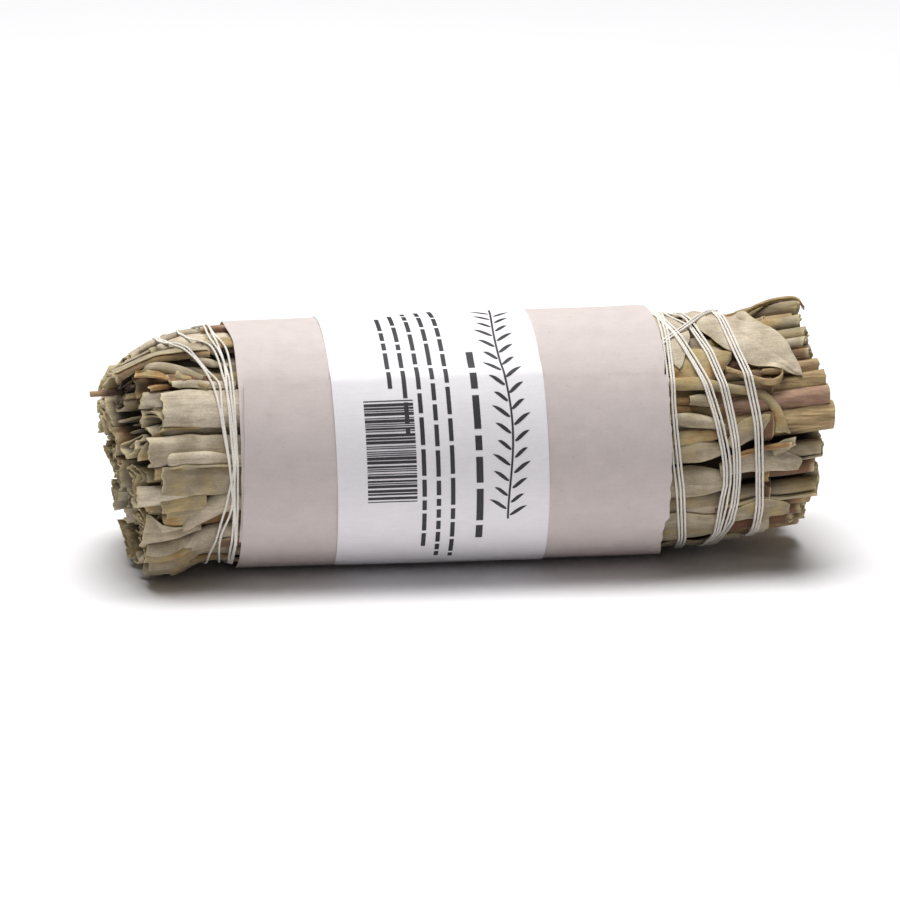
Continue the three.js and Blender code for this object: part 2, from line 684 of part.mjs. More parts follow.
layLeaves(leftLeaves).forEach((solid, i) => addNumbered('outer_leaf_left', i, solid, i % 3));
layLeaves(rightLeaves).forEach((solid, i) => addNumbered('outer_leaf_right', i, solid, 2 * i + 1));

addPiece('binding_thread_left', threadTube(0, LEFT_TURNS, leftThreadPlace), COTTON);
addPiece('binding_thread_right', geometryOf(rightThread()), COTTON);
addPiece('paper_band', geometryOf(paperBand()), PAPER);
addPiece('label', label(), LABEL_PAPER);

export default group;
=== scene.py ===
"""A bundle of dried white sage with its binding thread, paper band and pasted label.

Shapes are worked out in millimetres and written to meshes in metres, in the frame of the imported
model: X along the bundle, -Y towards the side with the band's free edge, Z up. Angles are in degrees
round the bundle, from its front upwards.
"""
import json
import logging
import math
import random
from dataclasses import dataclass
from enum import Enum
from typing import Callable, Iterable, Optional, Sequence

import bpy
import numpy as np
from mathutils import Matrix, Vector

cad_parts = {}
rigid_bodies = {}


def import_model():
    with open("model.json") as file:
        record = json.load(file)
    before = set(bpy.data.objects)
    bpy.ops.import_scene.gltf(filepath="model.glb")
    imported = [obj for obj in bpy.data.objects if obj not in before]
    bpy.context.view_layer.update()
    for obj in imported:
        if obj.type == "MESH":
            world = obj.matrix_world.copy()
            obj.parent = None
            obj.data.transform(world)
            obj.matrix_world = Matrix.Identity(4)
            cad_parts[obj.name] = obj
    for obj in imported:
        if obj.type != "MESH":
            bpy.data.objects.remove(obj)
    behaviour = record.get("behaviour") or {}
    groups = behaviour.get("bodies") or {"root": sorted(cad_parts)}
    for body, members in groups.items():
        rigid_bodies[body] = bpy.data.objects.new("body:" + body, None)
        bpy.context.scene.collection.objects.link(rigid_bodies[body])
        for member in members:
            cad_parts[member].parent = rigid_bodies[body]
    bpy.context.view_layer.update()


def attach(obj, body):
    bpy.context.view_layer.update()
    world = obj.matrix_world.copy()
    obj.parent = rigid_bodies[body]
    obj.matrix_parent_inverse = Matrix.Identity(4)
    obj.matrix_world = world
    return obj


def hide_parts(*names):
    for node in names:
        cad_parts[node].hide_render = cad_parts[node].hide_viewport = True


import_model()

LOG = logging.getLogger("sage_bundle")

MM = 0.001
SEED = 20417

# Paper band and label
BAND_HALF_LENGTH = 46.7
BAND_RADIUS_LEFT = 27.0
BAND_RADIUS_RIGHT = 27.7
BAND_FLAT_DEPTH = 0.3
FLAP_EDGE_ANGLE = 44.0
FLAP_RAMP = 80.0
FLAP_RISE = 0.38
FLAP_LIFT = 0.6
FLAP_LIFT_FROM = 16.0
FLAP_LIFT_RUN = 28.0
LABEL_LEFT = -26.1
LABEL_RIGHT = 20.3
LABEL_FROM = -70.0
LABEL_TO = 150.0

# Outline of the herb bundle: place along X, radius, height of its middle
PROFILE = np.array([
    [-80, 25.2, 26.2], [-70, 25.9, 26.3], [-64, 26.5, 26.8], [-57, 26.0, 27.2], [-50.5, 25.4, 27.0],
    [-46, 25.7, 26.8], [46, 26.3, 27.4], [50, 25.9, 27.3], [56, 26.0, 27.4], [61, 25.3, 27.6],
    [66, 24.8, 28.0], [72, 25.2, 28.9], [86, 25.7, 30.6],
])
OUTER_LEAF_LAYER = 1.35
TOP_SLOPE_START = -51.0
TOP_SLOPE_LENGTH = 19.0
TOP_SLOPE_POWER = 1.5
TOP_SLOPE_SHARE = 0.23
TOP_SLOPE_MIDDLE = 105.0
TOP_SLOPE_HALF_WIDTH = 55.0
LOW_SWELL_START = -53.5
LOW_SWELL_LENGTH = 8.0
LOW_SWELL_STRETCH = 0.29
LOW_SWELL_FROM = 16.9
LOW_SWELL_MIDDLE = -50.0
LOW_SWELL_HALF_WIDTH = 40.0

# Cut ends
CUT_EDGE = 0.7
ROD_PLACE = 76.0
LEFT_RIM_END = -68.0
LEFT_DOME_RISE = 5.0
LEFT_DOME_TILT = 4.5
LEFT_CUT_BACKS = ((2.6, -55, 60), (1.6, 20, 45))
LEFT_DOME_POWER = 4
LEFT_CREASE_DEPTH = 7.0
RIGHT_END = 81.6
RIGHT_FRONT_REACH = 2.2
CELL_UNEVENNESS = 0.11

Array = np.ndarray
Material = bpy.types.Material
Node = bpy.types.Node
NodeTree = bpy.types.NodeTree
Object = bpy.types.Object
Socket = bpy.types.NodeSocket


# Small mathematics

def lattice(i: Array, j: Array, k: Array, seed: int) -> Array:
    """Repeatable values between -1 and 1 for whole-numbered places, in the field that seed picks."""
    mask = 0xFFFFFFFF
    mixed = (i * 374761393 + j * 668265263 + k * 1442695041 + seed * 974634777) & mask
    mixed = ((mixed ^ (mixed >> 13)) * 1274126177) & mask
    return ((mixed ^ (mixed >> 16)) & mask) / mask * 2 - 1


def noise(x: Array, y: Array = 0.0, z: Array = 0.0, seed: int = 0) -> Array:
    """Smooth noise between -1 and 1 that changes over about one unit.

    Args:
        x, y, z: where to read it.
        seed: picks one of many fields.

    Returns:
        The noise at each place.
    """
    place = np.broadcast_arrays(np.asarray(x, float), y, z)
    cell = [np.floor(p).astype(np.int64) for p in place]
    ease = [(p - c) ** 2 * (3 - 2 * (p - c)) for p, c in zip(place, cell)]
    total = np.zeros(place[0].shape)
    for corner in range(8):
        step = [(corner >> axis) & 1 for axis in range(3)]
        weight = np.ones(place[0].shape)
        for e, s in zip(ease, step):
            weight = weight * (e if s else 1 - e)
        total += weight * lattice(*(c + s for c, s in zip(cell, step)), seed)
    return total


def fractal(x: Array, y: Array = 0.0, z: Array = 0.0, seed: int = 0, octaves: int = 3) -> Array:
    """Noise in as many sizes as there are octaves, each finer and weaker."""
    return sum(noise(x * 2**o, np.asarray(y) * 2**o, np.asarray(z) * 2**o, seed + o) / 2**o
               for o in range(octaves))


def through(points: Sequence, t: Array) -> Array:
    """A smooth curve through points.

    Args:
        points: numbers, or rows of numbers.
        t: places on the curve, from 0 at its first point to 1 at its last.

    Returns:
        A number or a row for each place.
    """
    p = np.asarray(points, float)
    flat = p.ndim == 1
    p = p[:, None] if flat else p
    whole = np.vstack([2 * p[0] - p[1], p, 2 * p[-1] - p[-2]])
    s = np.clip(t, 0, 1) * (len(p) - 1)
    i = np.minimum(s.astype(int), len(p) - 2)
    f = (s - i)[..., None]
    a, b, c, d = whole[i], whole[i + 1], whole[i + 2], whole[i + 3]
    out = 0.5 * (2 * b + (c - a) * f + (2 * a - 5 * b + 4 * c - d) * f**2 + (3 * b - a - 3 * c + d) * f**3)
    return out[..., 0] if flat else out


def travelled(line: Array) -> Array:
    """Distance from a line's start to each of its points, given as rows of coordinates."""
    return np.concatenate([[0], np.cumsum(np.linalg.norm(np.diff(line, axis=0), axis=1))])


def evenly(line: Array, count: int) -> Array:
    """A count of points at equal distances along a line, both as rows of coordinates."""
    run = travelled(line)
    at = np.linspace(0, run[-1], count)
    return np.stack([np.interp(at, run, line[:, k]) for k in range(line.shape[1])], axis=1)


def smoothstep(t: Array) -> Array:
    """Eases from 0 to 1."""
    t = np.clip(t, 0, 1)
    return t * t * (3 - 2 * t)


# Places on the bundle

def profile_radius(x: Array) -> Array:
    """Radius of the herb bundle at x."""
    return np.interp(x, PROFILE[:, 0], PROFILE[:, 1])


def profile_height(x: Array) -> Array:
    """Height of the herb bundle's middle at x."""
    return np.interp(x, PROFILE[:, 0], PROFILE[:, 2])


def fade(angle: Array, middle: float, half_width: float) -> Array:
    """Fades from 1 at a middle angle to 0 at a half width from it."""
    turned = (np.asarray(angle) - middle + 180) % 360 - 180
    return (1 + np.cos(np.pi * np.minimum(np.abs(turned) / half_width, 1))) / 2


def shaping(x: Array, angle: Array) -> tuple[Array, Array]:
    """How the left end's top slopes down and its lower front swells.

    Args:
        x: place along the bundle.
        angle: angle round it.

    Returns:
        The share kept of every radius, and the stretch of what lies outside LOW_SWELL_FROM.
    """
    along = np.maximum(0, TOP_SLOPE_START - np.asarray(x, float)) / TOP_SLOPE_LENGTH
    kept = 1 - TOP_SLOPE_SHARE * along**TOP_SLOPE_POWER * fade(angle, TOP_SLOPE_MIDDLE, TOP_SLOPE_HALF_WIDTH)
    out = smoothstep((LOW_SWELL_START - np.asarray(x, float)) / LOW_SWELL_LENGTH)
    return kept, LOW_SWELL_STRETCH * out * fade(angle, LOW_SWELL_MIDDLE, LOW_SWELL_HALF_WIDTH)


def around(x: Array, angle: Array, radius: Array, height: Optional[Array] = None) -> Array:
    """Points from places along X, angles and distances from the bundle's middle.

    Args:
        x, angle, radius: arrays that fit together.
        height: height of the middle, or None for the herb bundle's own.

    Returns:
        An array with a last axis of three.
    """
    a = np.radians(angle)
    share, stretch = shaping(x, angle)
    kept = radius * share + stretch * np.maximum(0, np.asarray(radius, float) - LOW_SWELL_FROM)
    middle = profile_height(x) if height is None else height
    return np.stack(np.broadcast_arrays(x, -kept * np.cos(a), middle + kept * np.sin(a)), axis=-1)


def polar(points: Array) -> tuple[Array, Array, Array]:
    """The reverse of around.

    Args:
        points: an array with a last axis of three.

    Returns:
        Places along X, angles and radii.
    """
    x, y, z = points[..., 0], points[..., 1], points[..., 2] - profile_height(points[..., 0])
    angle = np.degrees(np.arctan2(z, -y))
    share, stretch = shaping(x, angle)
    shaped = np.hypot(y, z)
    inner = shaped / share
    outer = (shaped + stretch * LOW_SWELL_FROM) / (share + stretch)
    return x, angle, np.where(inner > LOW_SWELL_FROM, outer, inner)


def dome_end(share: Array, angle: Array = 180.0) -> Array:
    """Where the left end is cut.

    Args:
        share: distance to the middle as a share of the radius.
        angle: angle round the bundle. The dome stands out further at the top, and is cut back in front.

    Returns:
        The place along X.
    """
    share = np.minimum(share, 1.0)
    rise = LEFT_DOME_RISE + LEFT_DOME_TILT * share * np.sin(np.radians(angle))
    back = sum(depth * fade(angle, middle, half) for depth, middle, half in LEFT_CUT_BACKS)
    return LEFT_RIM_END - rise * (1 - share**LEFT_DOME_POWER) + back * share


def right_end(angle: float) -> float:
    """Where the right end is cut, before its unevenness."""
    return RIGHT_END + RIGHT_FRONT_REACH * math.cos(math.radians(angle))


class Relief:
    """How far out the surface stands over a stretch of the bundle."""

    STEP = 0.4

    def __init__(self, start: float, stop: float, depth: float) -> None:
        """Starts as a smooth surface from start to stop, a depth below the bundle's outline."""
        self.start = start
        self.x = np.arange(start, stop + self.STEP, self.STEP)
        self.radius = np.repeat((profile_radius(self.x) - depth)[:, None], 360, axis=1)

    def lay(self, points: Array) -> None:
        """Raises the surface to points.

        Args:
            points: an array with a last axis of three.
        """
        if points.ndim == 3:
            between = [points[:-1] * (1 - f) + points[1:] * f for f in (0, 1 / 3, 2 / 3)]
            points = np.concatenate([*between, points[-1:]])
        x, angle, radius = (a.ravel() for a in polar(points))
        along = (x - self.start) / self.STEP
        for dx in (0, 1):
            for da in (0, 1):
                i = np.floor(along).astype(int) + dx
                j = (np.floor(angle).astype(int) + da) % 360
                inside = (i >= 0) & (i < len(self.x))
                np.maximum.at(self.radius, (i[inside], j[inside]), radius[inside])

    def at(self, x: Array, angle: Array) -> Array:
        """Radius of the surface.

        Args:
            x, angle: where to read it.

        Returns:
            The radius at each place.
        """
        along = np.clip((x - self.start) / self.STEP, 0, len(self.x) - 1.001)
        turned = np.asarray(angle) % 360
        i, j = along.astype(int), turned.astype(int)
        f, g = along - i, turned - j
        near = self.radius[i, j % 360] * (1 - g) + self.radius[i, (j + 1) % 360] * g
        far = self.radius[i + 1, j % 360] * (1 - g) + self.radius[i + 1, (j + 1) % 360] * g
        return near * (1 - f) + far * f


def crest(height: Array, reach: int, wrap: bool) -> Array:
    """The general level of a bumpy surface, along the tops of its bumps.

    Args:
        height: the surface over a grid.
        reach: how many cells it looks to each side.
        wrap: whether the grid's second axis closes on itself.

    Returns:
        The level over the same grid.
    """
    pad = ((reach, reach), (0, 0)), ((0, 0), (reach, reach))
    for combine in (np.max, np.mean):
        for axis in (0, 1):
            wide = np.pad(height, pad[axis], mode="wrap" if wrap and axis == 1 else "edge")
            size = height.shape[axis]
            layers = [np.take(wide, np.arange(k, k + size), axis=axis) for k in range(2 * reach + 1)]
            height = combine(np.stack(layers), axis=0)
    return height


class Hollows:
    """How deep places lie between the leaves, seen from the side and from the cut end; the depth sets the painted
    shade in the hollows.
    """

    CELL = 0.5

    def __init__(self, way: int) -> None:
        """Starts with no leaves, with way -1 for the left end and 1 for the right."""
        self.way = way
        self.side = np.full((100, 360), 10.0)
        self.end = np.full((140, 140), 40.0)

    def cells(self, points: Array) -> tuple[tuple[Array, Array], Array, tuple[Array, Array], Array]:
        """Grid cells and heights of points on the side and on the cut end."""
        x, angle, radius = polar(points)
        i = np.clip((self.way * x - 40) / self.CELL, 0, 99).astype(int)
        j = angle.astype(int) % 360
        m = np.clip(points[..., 1] / self.CELL + 70, 0, 139).astype(int)
        n = np.clip(points[..., 2] / self.CELL + 10, 0, 139).astype(int)
        return (i, j), radius, (m, n), self.way * x

    def lay(self, points: Array) -> None:
        """Adds leaves, given by their points."""
        points = points[self.way * points[:, 0] > 40]
        side, radius, end, reach = self.cells(points)
        np.maximum.at(self.side, side, radius)
        np.maximum.at(self.end, end, reach)

    def level(self) -> None:
        """Turns both surfaces into their general levels once all the leaves are added."""
        self.side = crest(self.side, 3, True)
        self.end = crest(self.end, 3, False)

    def depth(self, points: Array) -> Array:
        """Depth in millimetres below the levels, from where it's less."""
        side, radius, end, reach = self.cells(points)
        return np.clip(np.minimum(self.side[side] - radius, self.end[end] - reach), 0, 8)


# Meshes

def placed(name: str, data: bpy.types.ID) -> Object:
    """Adds an object with its data to the scene."""
    made = bpy.data.objects.new(name, data)
    bpy.context.scene.collection.objects.link(made)
    return made


class Draft:
    """Collects closed shapes and turns them into one object."""

    def __init__(self) -> None:
        """Starts empty."""
        self.parts: list[dict] = []
        self.count = 0
        self.depth: Callable[[Array], Array] = lambda points: np.zeros(len(points))

    def add(self, points: Array, quads: Array, triangles: Array, uv: Array, tone: Array, edge: Array,
            finish: int) -> None:
        """Adds one closed shape, turned so that its faces point outwards.

        Args:
            points: its corners in millimetres.
            quads, triangles: its faces as rows of corner numbers.
            uv, tone, edge: values for each corner.
            finish: number of its material.
        """
        tri = np.vstack([quads[:, [0, 1, 2]], quads[:, [0, 2, 3]], triangles]).astype(int)
        a, b, c = points[tri[:, 0]], points[tri[:, 1]], points[tri[:, 2]]
        if np.einsum("ij,ij->", a - points[0], np.cross(b - points[0], c - points[0])) < 0:
            quads, triangles = quads[:, ::-1], triangles[:, ::-1]
        size = len(points)
        self.parts.append({
            "points": points, "quads": quads + self.count, "triangles": triangles + self.count, "uv": uv,
            "tone": np.broadcast_to(tone, size), "edge": np.broadcast_to(edge, size),
            "quad_finish": np.full(len(quads), finish), "triangle_finish": np.full(len(triangles), finish),
        })
        self.count += size

    def sheet(self, grid: Array, thickness: Array, tone: Array, edge: Array = 0.0) -> None:
        """Adds a thin closed sheet of the first material on both sides of a grid of points.

        Args:
            grid: points with two axes along the sheet and a last axis of three.
            thickness, tone, edge: one value, or one for each point.
        """
        rows, columns = grid.shape[:2]
        normal = np.cross(np.gradient(grid, axis=0), np.gradient(grid, axis=1))
        normal /= np.maximum(np.linalg.norm(normal, axis=-1, keepdims=True), 1e-9)
        half = (np.broadcast_to(thickness, (rows, columns)) / 2)[..., None]
        points = np.concatenate([(grid + normal * half).reshape(-1, 3), (grid - normal * half).reshape(-1, 3)])
        number = np.arange(rows * columns).reshape(rows, columns)
        under = rows * columns
        faces = np.stack([number[:-1, :-1], number[1:, :-1], number[1:, 1:], number[:-1, 1:]], -1).reshape(-1, 4)
        rim = np.concatenate([number[:-1, 0], number[-1, :-1], number[:0:-1, -1], number[0, :0:-1]])
        following = np.roll(rim, -1)
        sides = np.stack([rim, rim + under, following + under, following], -1)
        quads = np.vstack([faces, faces[:, ::-1] + under, sides])
        u, v = np.meshgrid(np.linspace(0, 1, rows), np.linspace(0, 1, columns), indexing="ij")
        uv = np.tile(np.stack([u, v], -1).reshape(-1, 2), (2, 1))
        both = [np.tile(np.broadcast_to(a, (rows, columns)).reshape(-1), 2) for a in (tone, edge)]
        self.add(points, quads, np.empty((0, 3), int), uv, *both, 0)

    def tube(self, rings: Array, tone: Array, edge: Array = 0.0, finish: int = 0) -> None:
        """Adds a closed solid through rings of points, with a point at the middle of each end.

        Args:
            rings: an array of rings, each a row of points.
            tone, edge: one value, or one for each ring.
            finish: number of its material.
        """
        count, sides = rings.shape[:2]
        number = np.arange(count * sides).reshape(count, sides)
        nearby = np.roll(number, -1, axis=1)
        quads = np.stack([number[:-1], nearby[:-1], nearby[1:], number[1:]], -1).reshape(-1, 4)
        first, last = count * sides, count * sides + 1
        triangles = np.vstack([
            np.stack([nearby[0], number[0], np.full(sides, first)], -1),
            np.stack([number[-1], nearby[-1], np.full(sides, last)], -1),
        ])
        points = np.vstack([rings.reshape(-1, 3), rings[0].mean(0), rings[-1].mean(0)])
        u, v = np.meshgrid(np.linspace(0, 1, count), np.linspace(0, 1, sides), indexing="ij")
        uv = np.vstack([np.stack([u, v], -1).reshape(-1, 2), [[0, 0], [1, 0]]])

        def spread(value: Array) -> Array:
            """One value for each point from one for each ring."""
            each = np.broadcast_to(value, count)
            return np.concatenate([np.repeat(each, sides), each[[0, -1]]])

        self.add(points, quads, triangles, uv, spread(tone), spread(edge), finish)

    def build(self, name: str, materials: Sequence[Material], sharp: float = 50.0) -> Object:
        """Makes the object.

        Args:
            name: its name.
            materials: its material slots, in the order of the finish numbers.
            sharp: angle in degrees past which an edge is drawn sharp.

        Returns:
            The object, linked to the scene.
        """
        def joined(key: str) -> Array:
            """The parts' arrays, one after the other."""
            return np.concatenate([part[key] for part in self.parts])

        points, quads, triangles = joined("points"), joined("quads"), joined("triangles")
        mesh = bpy.data.meshes.new(name)
        mesh.vertices.add(len(points))
        mesh.vertices.foreach_set("co", (points * MM).astype(np.float32).ravel())
        corners = np.concatenate([quads.ravel(), triangles.ravel()]).astype(np.int32)
        starts = np.concatenate([np.arange(len(quads)) * 4, len(quads) * 4 + np.arange(len(triangles)) * 3])
        mesh.loops.add(len(corners))
        mesh.loops.foreach_set("vertex_index", corners)
        mesh.polygons.add(len(starts))
        mesh.polygons.foreach_set("loop_start", starts.astype(np.int32))
        finish = np.concatenate([joined("quad_finish"), joined("triangle_finish")])
        mesh.polygons.foreach_set("material_index", finish.astype(np.int32))
        mesh.update(calc_edges=True)
        layer = mesh.uv_layers.new(name="surface")
        layer.data.foreach_set("uv", joined("uv")[corners].astype(np.float32).ravel())
        for key, values in (("tone", joined("tone")), ("edge", joined("edge")), ("depth", self.depth(points))):
            attribute = mesh.attributes.new(key, "FLOAT", "POINT")
            attribute.data.foreach_set("value", values.astype(np.float32))
        for material in materials:
            mesh.materials.append(material)
        mesh.validate()
        mesh.shade_smooth()
        mesh.set_sharp_from_angle(angle=math.radians(sharp))
        return placed(name, mesh)


def dress(piece: Object, slot: str, *nodes: str) -> None:
    """Puts a finished piece in its place in the frame.

    Args:
        piece: the object.
        slot: the record's material slot meant for the piece; not used.
        nodes: the CAD nodes that it stands for.
    """
    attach(piece, "root")
    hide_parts(*nodes)
    LOG.info("%s: %d faces", piece.name, len(piece.data.polygons))


# Finishes

class Shader:
    """Writes the nodes of one material or shader group."""

    def __init__(self, tree: NodeTree) -> None:
        """Starts on an emptied tree."""
        self.tree = tree
        self.tree.nodes.clear()

    def node(self, kind: str, inputs: Optional[dict] = None, **settings: object) -> Node:
        """Adds a node.

        Args:
            kind: its type.
            inputs: values or output sockets by input name or number.
            settings: its own properties.

        Returns:
            The node.
        """
        made = self.tree.nodes.new(kind)
        for key, value in settings.items():
            setattr(made, key, value)
        for key, value in (inputs or {}).items():
            if isinstance(value, Socket):
                self.tree.links.new(value, made.inputs[key])
            else:
                made.inputs[key].default_value = value
        return made

    def position(self) -> Socket:
        """The place on the object."""
        return self.node("ShaderNodeTexCoord").outputs["Object"]

    def stretched(self, scale: Sequence[float]) -> Socket:
        """The place on the object, scaled along each axis."""
        mapping = self.node("ShaderNodeMapping", {"Vector": self.position(), "Scale": scale})
        return mapping.outputs["Vector"]

    def attribute(self, name: str) -> Socket:
        """A number stored with the mesh."""
        return self.node("ShaderNodeAttribute", attribute_name=name).outputs["Fac"]

    def maths(self, operation: str, *values: object) -> Socket:
        """The result of a sum on numbers."""
        return self.node("ShaderNodeMath", dict(enumerate(values)), operation=operation).outputs[0]

    def noise(self, vector: Socket, scale: float, detail: float = 3.0) -> Socket:
        """Noise between about 0.3 and 0.7."""
        made = self.node("ShaderNodeTexNoise", {"Vector": vector, "Scale": scale, "Detail": detail})
        return made.outputs["Fac"]

    def ranged(self, value: Socket, low: float, high: float, out_low: object = 0.0,
               out_high: object = 1.0) -> Socket:
        """A number taken from one range to another and held inside it."""
        inputs = {0: value, 1: low, 2: high, 3: out_low, 4: out_high}
        return self.node("ShaderNodeMapRange", inputs, clamp=True).outputs[0]

    def mix(self, factor: object, first: object, second: object) -> Socket:
        """A colour between two colours."""
        inputs = {0: factor, 6: first, 7: second}
        return self.node("ShaderNodeMix", inputs, data_type="RGBA").outputs[2]

    def ramp(self, factor: Socket, stops: Sequence[tuple]) -> Socket:
        """A colour from a row of (place, colour) stops."""
        made = self.node("ShaderNodeValToRGB", {"Fac": factor})
        points = made.color_ramp.elements
        while len(points) < len(stops):
            points.new(0.5)
        for point, (place, colour) in zip(points, stops):
            point.position = place
            point.color = colour
        return made.outputs["Color"]

    def group(self, tree: NodeTree, **inputs: object) -> Node:
        """Adds a shader group, with values or sockets by input name."""
        return self.node("ShaderNodeGroup", inputs, node_tree=tree)

    def surface(self, inputs: dict) -> None:
        """Ends a material with one Principled shader, with values or sockets by input name."""
        shader = self.node("ShaderNodeBsdfPrincipled", inputs)
        self.node("ShaderNodeOutputMaterial", {"Surface": shader.outputs[0]})


def srgb(red: float, green: float, blue: float) -> tuple[float, float, float, float]:
    """A colour from screen values of 0 to 255."""
    def linear(value: float) -> float:
        """One channel."""
        share = value / 255
        return share / 12.92 if share <= 0.04045 else ((share + 0.055) / 1.055) ** 2.4
    return linear(red), linear(green), linear(blue), 1.0


def shader_group(name: str, inputs: dict[str, object], outputs: dict[str, str],
                 fill: Callable[[Shader, Node], dict]) -> NodeTree:
    """Makes a shader group once.

    Args:
        name: its name.
        inputs: its input names with their first values.
        outputs: its output names with their socket types.
        fill: writes its nodes and gives a socket for each output name.

    Returns:
        The group.
    """
    if name in bpy.data.node_groups:
        return bpy.data.node_groups[name]
    tree = bpy.data.node_groups.new(name, "ShaderNodeTree")
    for key, value in inputs.items():
        kind = "NodeSocketColor" if isinstance(value, tuple) else "NodeSocketFloat"
        tree.interface.new_socket(key, in_out="INPUT", socket_type=kind).default_value = value
    for key, kind in outputs.items():
        tree.interface.new_socket(key, in_out="OUTPUT", socket_type=kind)
    shader = Shader(tree)
    entry = shader.node("NodeGroupInput")
    shader.node("NodeGroupOutput", fill(shader, entry))
    return tree


def mottled() -> NodeTree:
    """A group that breaks up a colour with soft patches, fine grains and lengthwise fibres."""
    def fill(s: Shader, entry: Node) -> dict:
        """Writes the nodes."""
        place = s.position()
        patch = s.ranged(s.noise(place, 260, 5), 0.3, 0.7, -1.0, 1.0)
        grain = s.ranged(s.noise(place, 3800, 2), 0.3, 0.7, -1.0, 1.0)
        fibre = s.ranged(s.noise(s.stretched((0.12, 1, 1)), 2300, 3), 0.3, 0.7, -1.0, 1.0)
        parts = [s.maths("MULTIPLY", value, entry.outputs[name])
                 for value, name in ((patch, "Patches"), (grain, "Grains"), (fibre, "Fibres"))]
        total = s.maths("ADD", s.maths("ADD", parts[0], parts[1]), parts[2])
        bright = s.maths("ADD", total, 1.0)
        scaled = s.node("ShaderNodeVectorMath", {0: entry.outputs["Colour"], "Scale": bright}, operation="SCALE")
        return {"Colour": scaled.outputs[0], "Height": total}
    inputs = {"Colour": (0.5, 0.5, 0.5, 1.0), "Patches": 0.15, "Grains": 0.1, "Fibres": 0.1}
    return shader_group("mottled", inputs, {"Colour": "NodeSocketColor", "Height": "NodeSocketFloat"}, fill)


def painted_crevice_shade() -> NodeTree:
    """A group that paints shade into a colour: it darkens it where it lies deep between the leaves, where shade
    falls.
    """
    def fill(s: Shader, entry: Node) -> dict:
        """Writes the nodes."""
        # Painted shade: the colour goes darker with the depth below the leaves' general level.
        painted_shade_share = s.ranged(s.attribute("depth"), 0.7, 4.0, 0.0, 0.86)
        return {"Colour": s.mix(painted_shade_share, entry.outputs["Colour"], entry.outputs["Shade"])}
    inputs = {"Colour": (0.5, 0.5, 0.5, 1.0), "Shade": srgb(52, 38, 27)}
    return shader_group("painted_crevice_shade", inputs, {"Colour": "NodeSocketColor"}, fill)


def leaf_net() -> NodeTree:
    """A group for a dry leaf's midrib, side veins and fine net, from its UV map."""
    def fill(s: Shader, entry: Node) -> dict:
        """Writes the nodes."""
        uv = s.node("ShaderNodeUVMap", uv_map="surface").outputs[0]
        split = s.node("ShaderNodeSeparateXYZ", {0: uv})
        along, across = split.outputs[0], split.outputs[1]
        side = s.maths("ABSOLUTE", s.maths("SUBTRACT", across, 0.5))
        midrib = s.ranged(side, 0.0, 0.035, 1.0, 0.0)
        slanted = s.maths("SUBTRACT", along, s.maths("MULTIPLY", side, 0.45))
        wave = s.maths("FRACT", s.maths("MULTIPLY", slanted, 11.0))
        vein = s.ranged(s.maths("ABSOLUTE", s.maths("SUBTRACT", wave, 0.5)), 0.0, 0.09, 1.0, 0.0)
        vein = s.maths("MULTIPLY", vein, s.ranged(side, 0.0, 0.5, 0.8, 0.25))
        cells = s.node("ShaderNodeTexVoronoi", {"Vector": s.position(), "Scale": 1150.0},
                       feature="DISTANCE_TO_EDGE")
        net = s.ranged(cells.outputs["Distance"], 0.0, 0.16, 1.0, 0.0)
        lines = s.maths("MAXIMUM", midrib, s.maths("MAXIMUM", vein, s.maths("MULTIPLY", net, 0.45)))
        return {"Lines": s.maths("MULTIPLY", lines, entry.outputs["Strength"])}
    return shader_group("leaf net", {"Strength": 1.0}, {"Lines": "NodeSocketFloat"}, fill)


@dataclass(frozen=True)
class Finish:
    """A material made of shader nodes."""

    name: str

    def material(self) -> Material:
        """The finished material."""
        made = bpy.data.materials.new(self.name)
        made.use_nodes = True
        self.write(Shader(made.node_tree))
        return made

    def write(self, s: Shader) -> None:
        """Writes the material's nodes, each kind of finish its own."""
        raise NotImplementedError


@dataclass(frozen=True)
class LeafFinish(Finish):
    """Dry white sage leaf: felted, mottled, with a net of veins and a paler cut edge."""

    vein: float = 0.7
    tones: tuple = (
        (0.0, srgb(205, 192, 170)), (0.2, srgb(184, 170, 147)), (0.4, srgb(154, 141, 115)),
        (0.56, srgb(172, 152, 108)), (0.68, srgb(168, 130, 82)), (0.8, srgb(124, 97, 70)), (1.0, srgb(116, 80, 60)),
    )
    edge: tuple = srgb(200, 186, 146)

    def write(self, s: Shader) -> None:
        """Writes the nodes."""
        blot = s.ranged(s.noise(s.position(), 190, 4), 0.35, 0.7, -0.10, 0.14)
        base = s.ramp(s.maths("ADD", s.attribute("tone"), blot), self.tones)
        rim = s.maths("MULTIPLY", s.attribute("edge"), s.ranged(s.noise(s.position(), 700, 3), 0.35, 0.6, 0.3, 1.0))
        base = s.mix(rim, base, self.edge)
        lines = s.group(leaf_net(), Strength=self.vein).outputs["Lines"]
        base = s.mix(s.maths("MULTIPLY", lines, 0.28), base, srgb(120, 104, 76))
        broken = s.group(mottled(), Colour=base, Patches=0.16, Grains=0.12, Fibres=0.12)
        # Painted shade: the leaf goes darker where it lies deep between other leaves.
        colour = s.group(painted_crevice_shade(), Colour=broken.outputs["Colour"]).outputs["Colour"]
        felt = s.noise(s.position(), 5200, 2)
        height = s.maths("ADD", s.maths("MULTIPLY", broken.outputs["Height"], 0.6), s.maths("MULTIPLY", felt, 0.5))
        height = s.maths("SUBTRACT", height, s.maths("MULTIPLY", lines, 0.7))
        bump = s.node("ShaderNodeBump", {"Strength": 0.55, "Distance": 0.00012, "Height": height})
        s.surface({"Base Color": colour, "Roughness": 0.88, "Specular IOR Level": 0.25,
                   "Sheen Weight": 0.12, "Sheen Roughness": 0.6, "Normal": bump.outputs[0]})


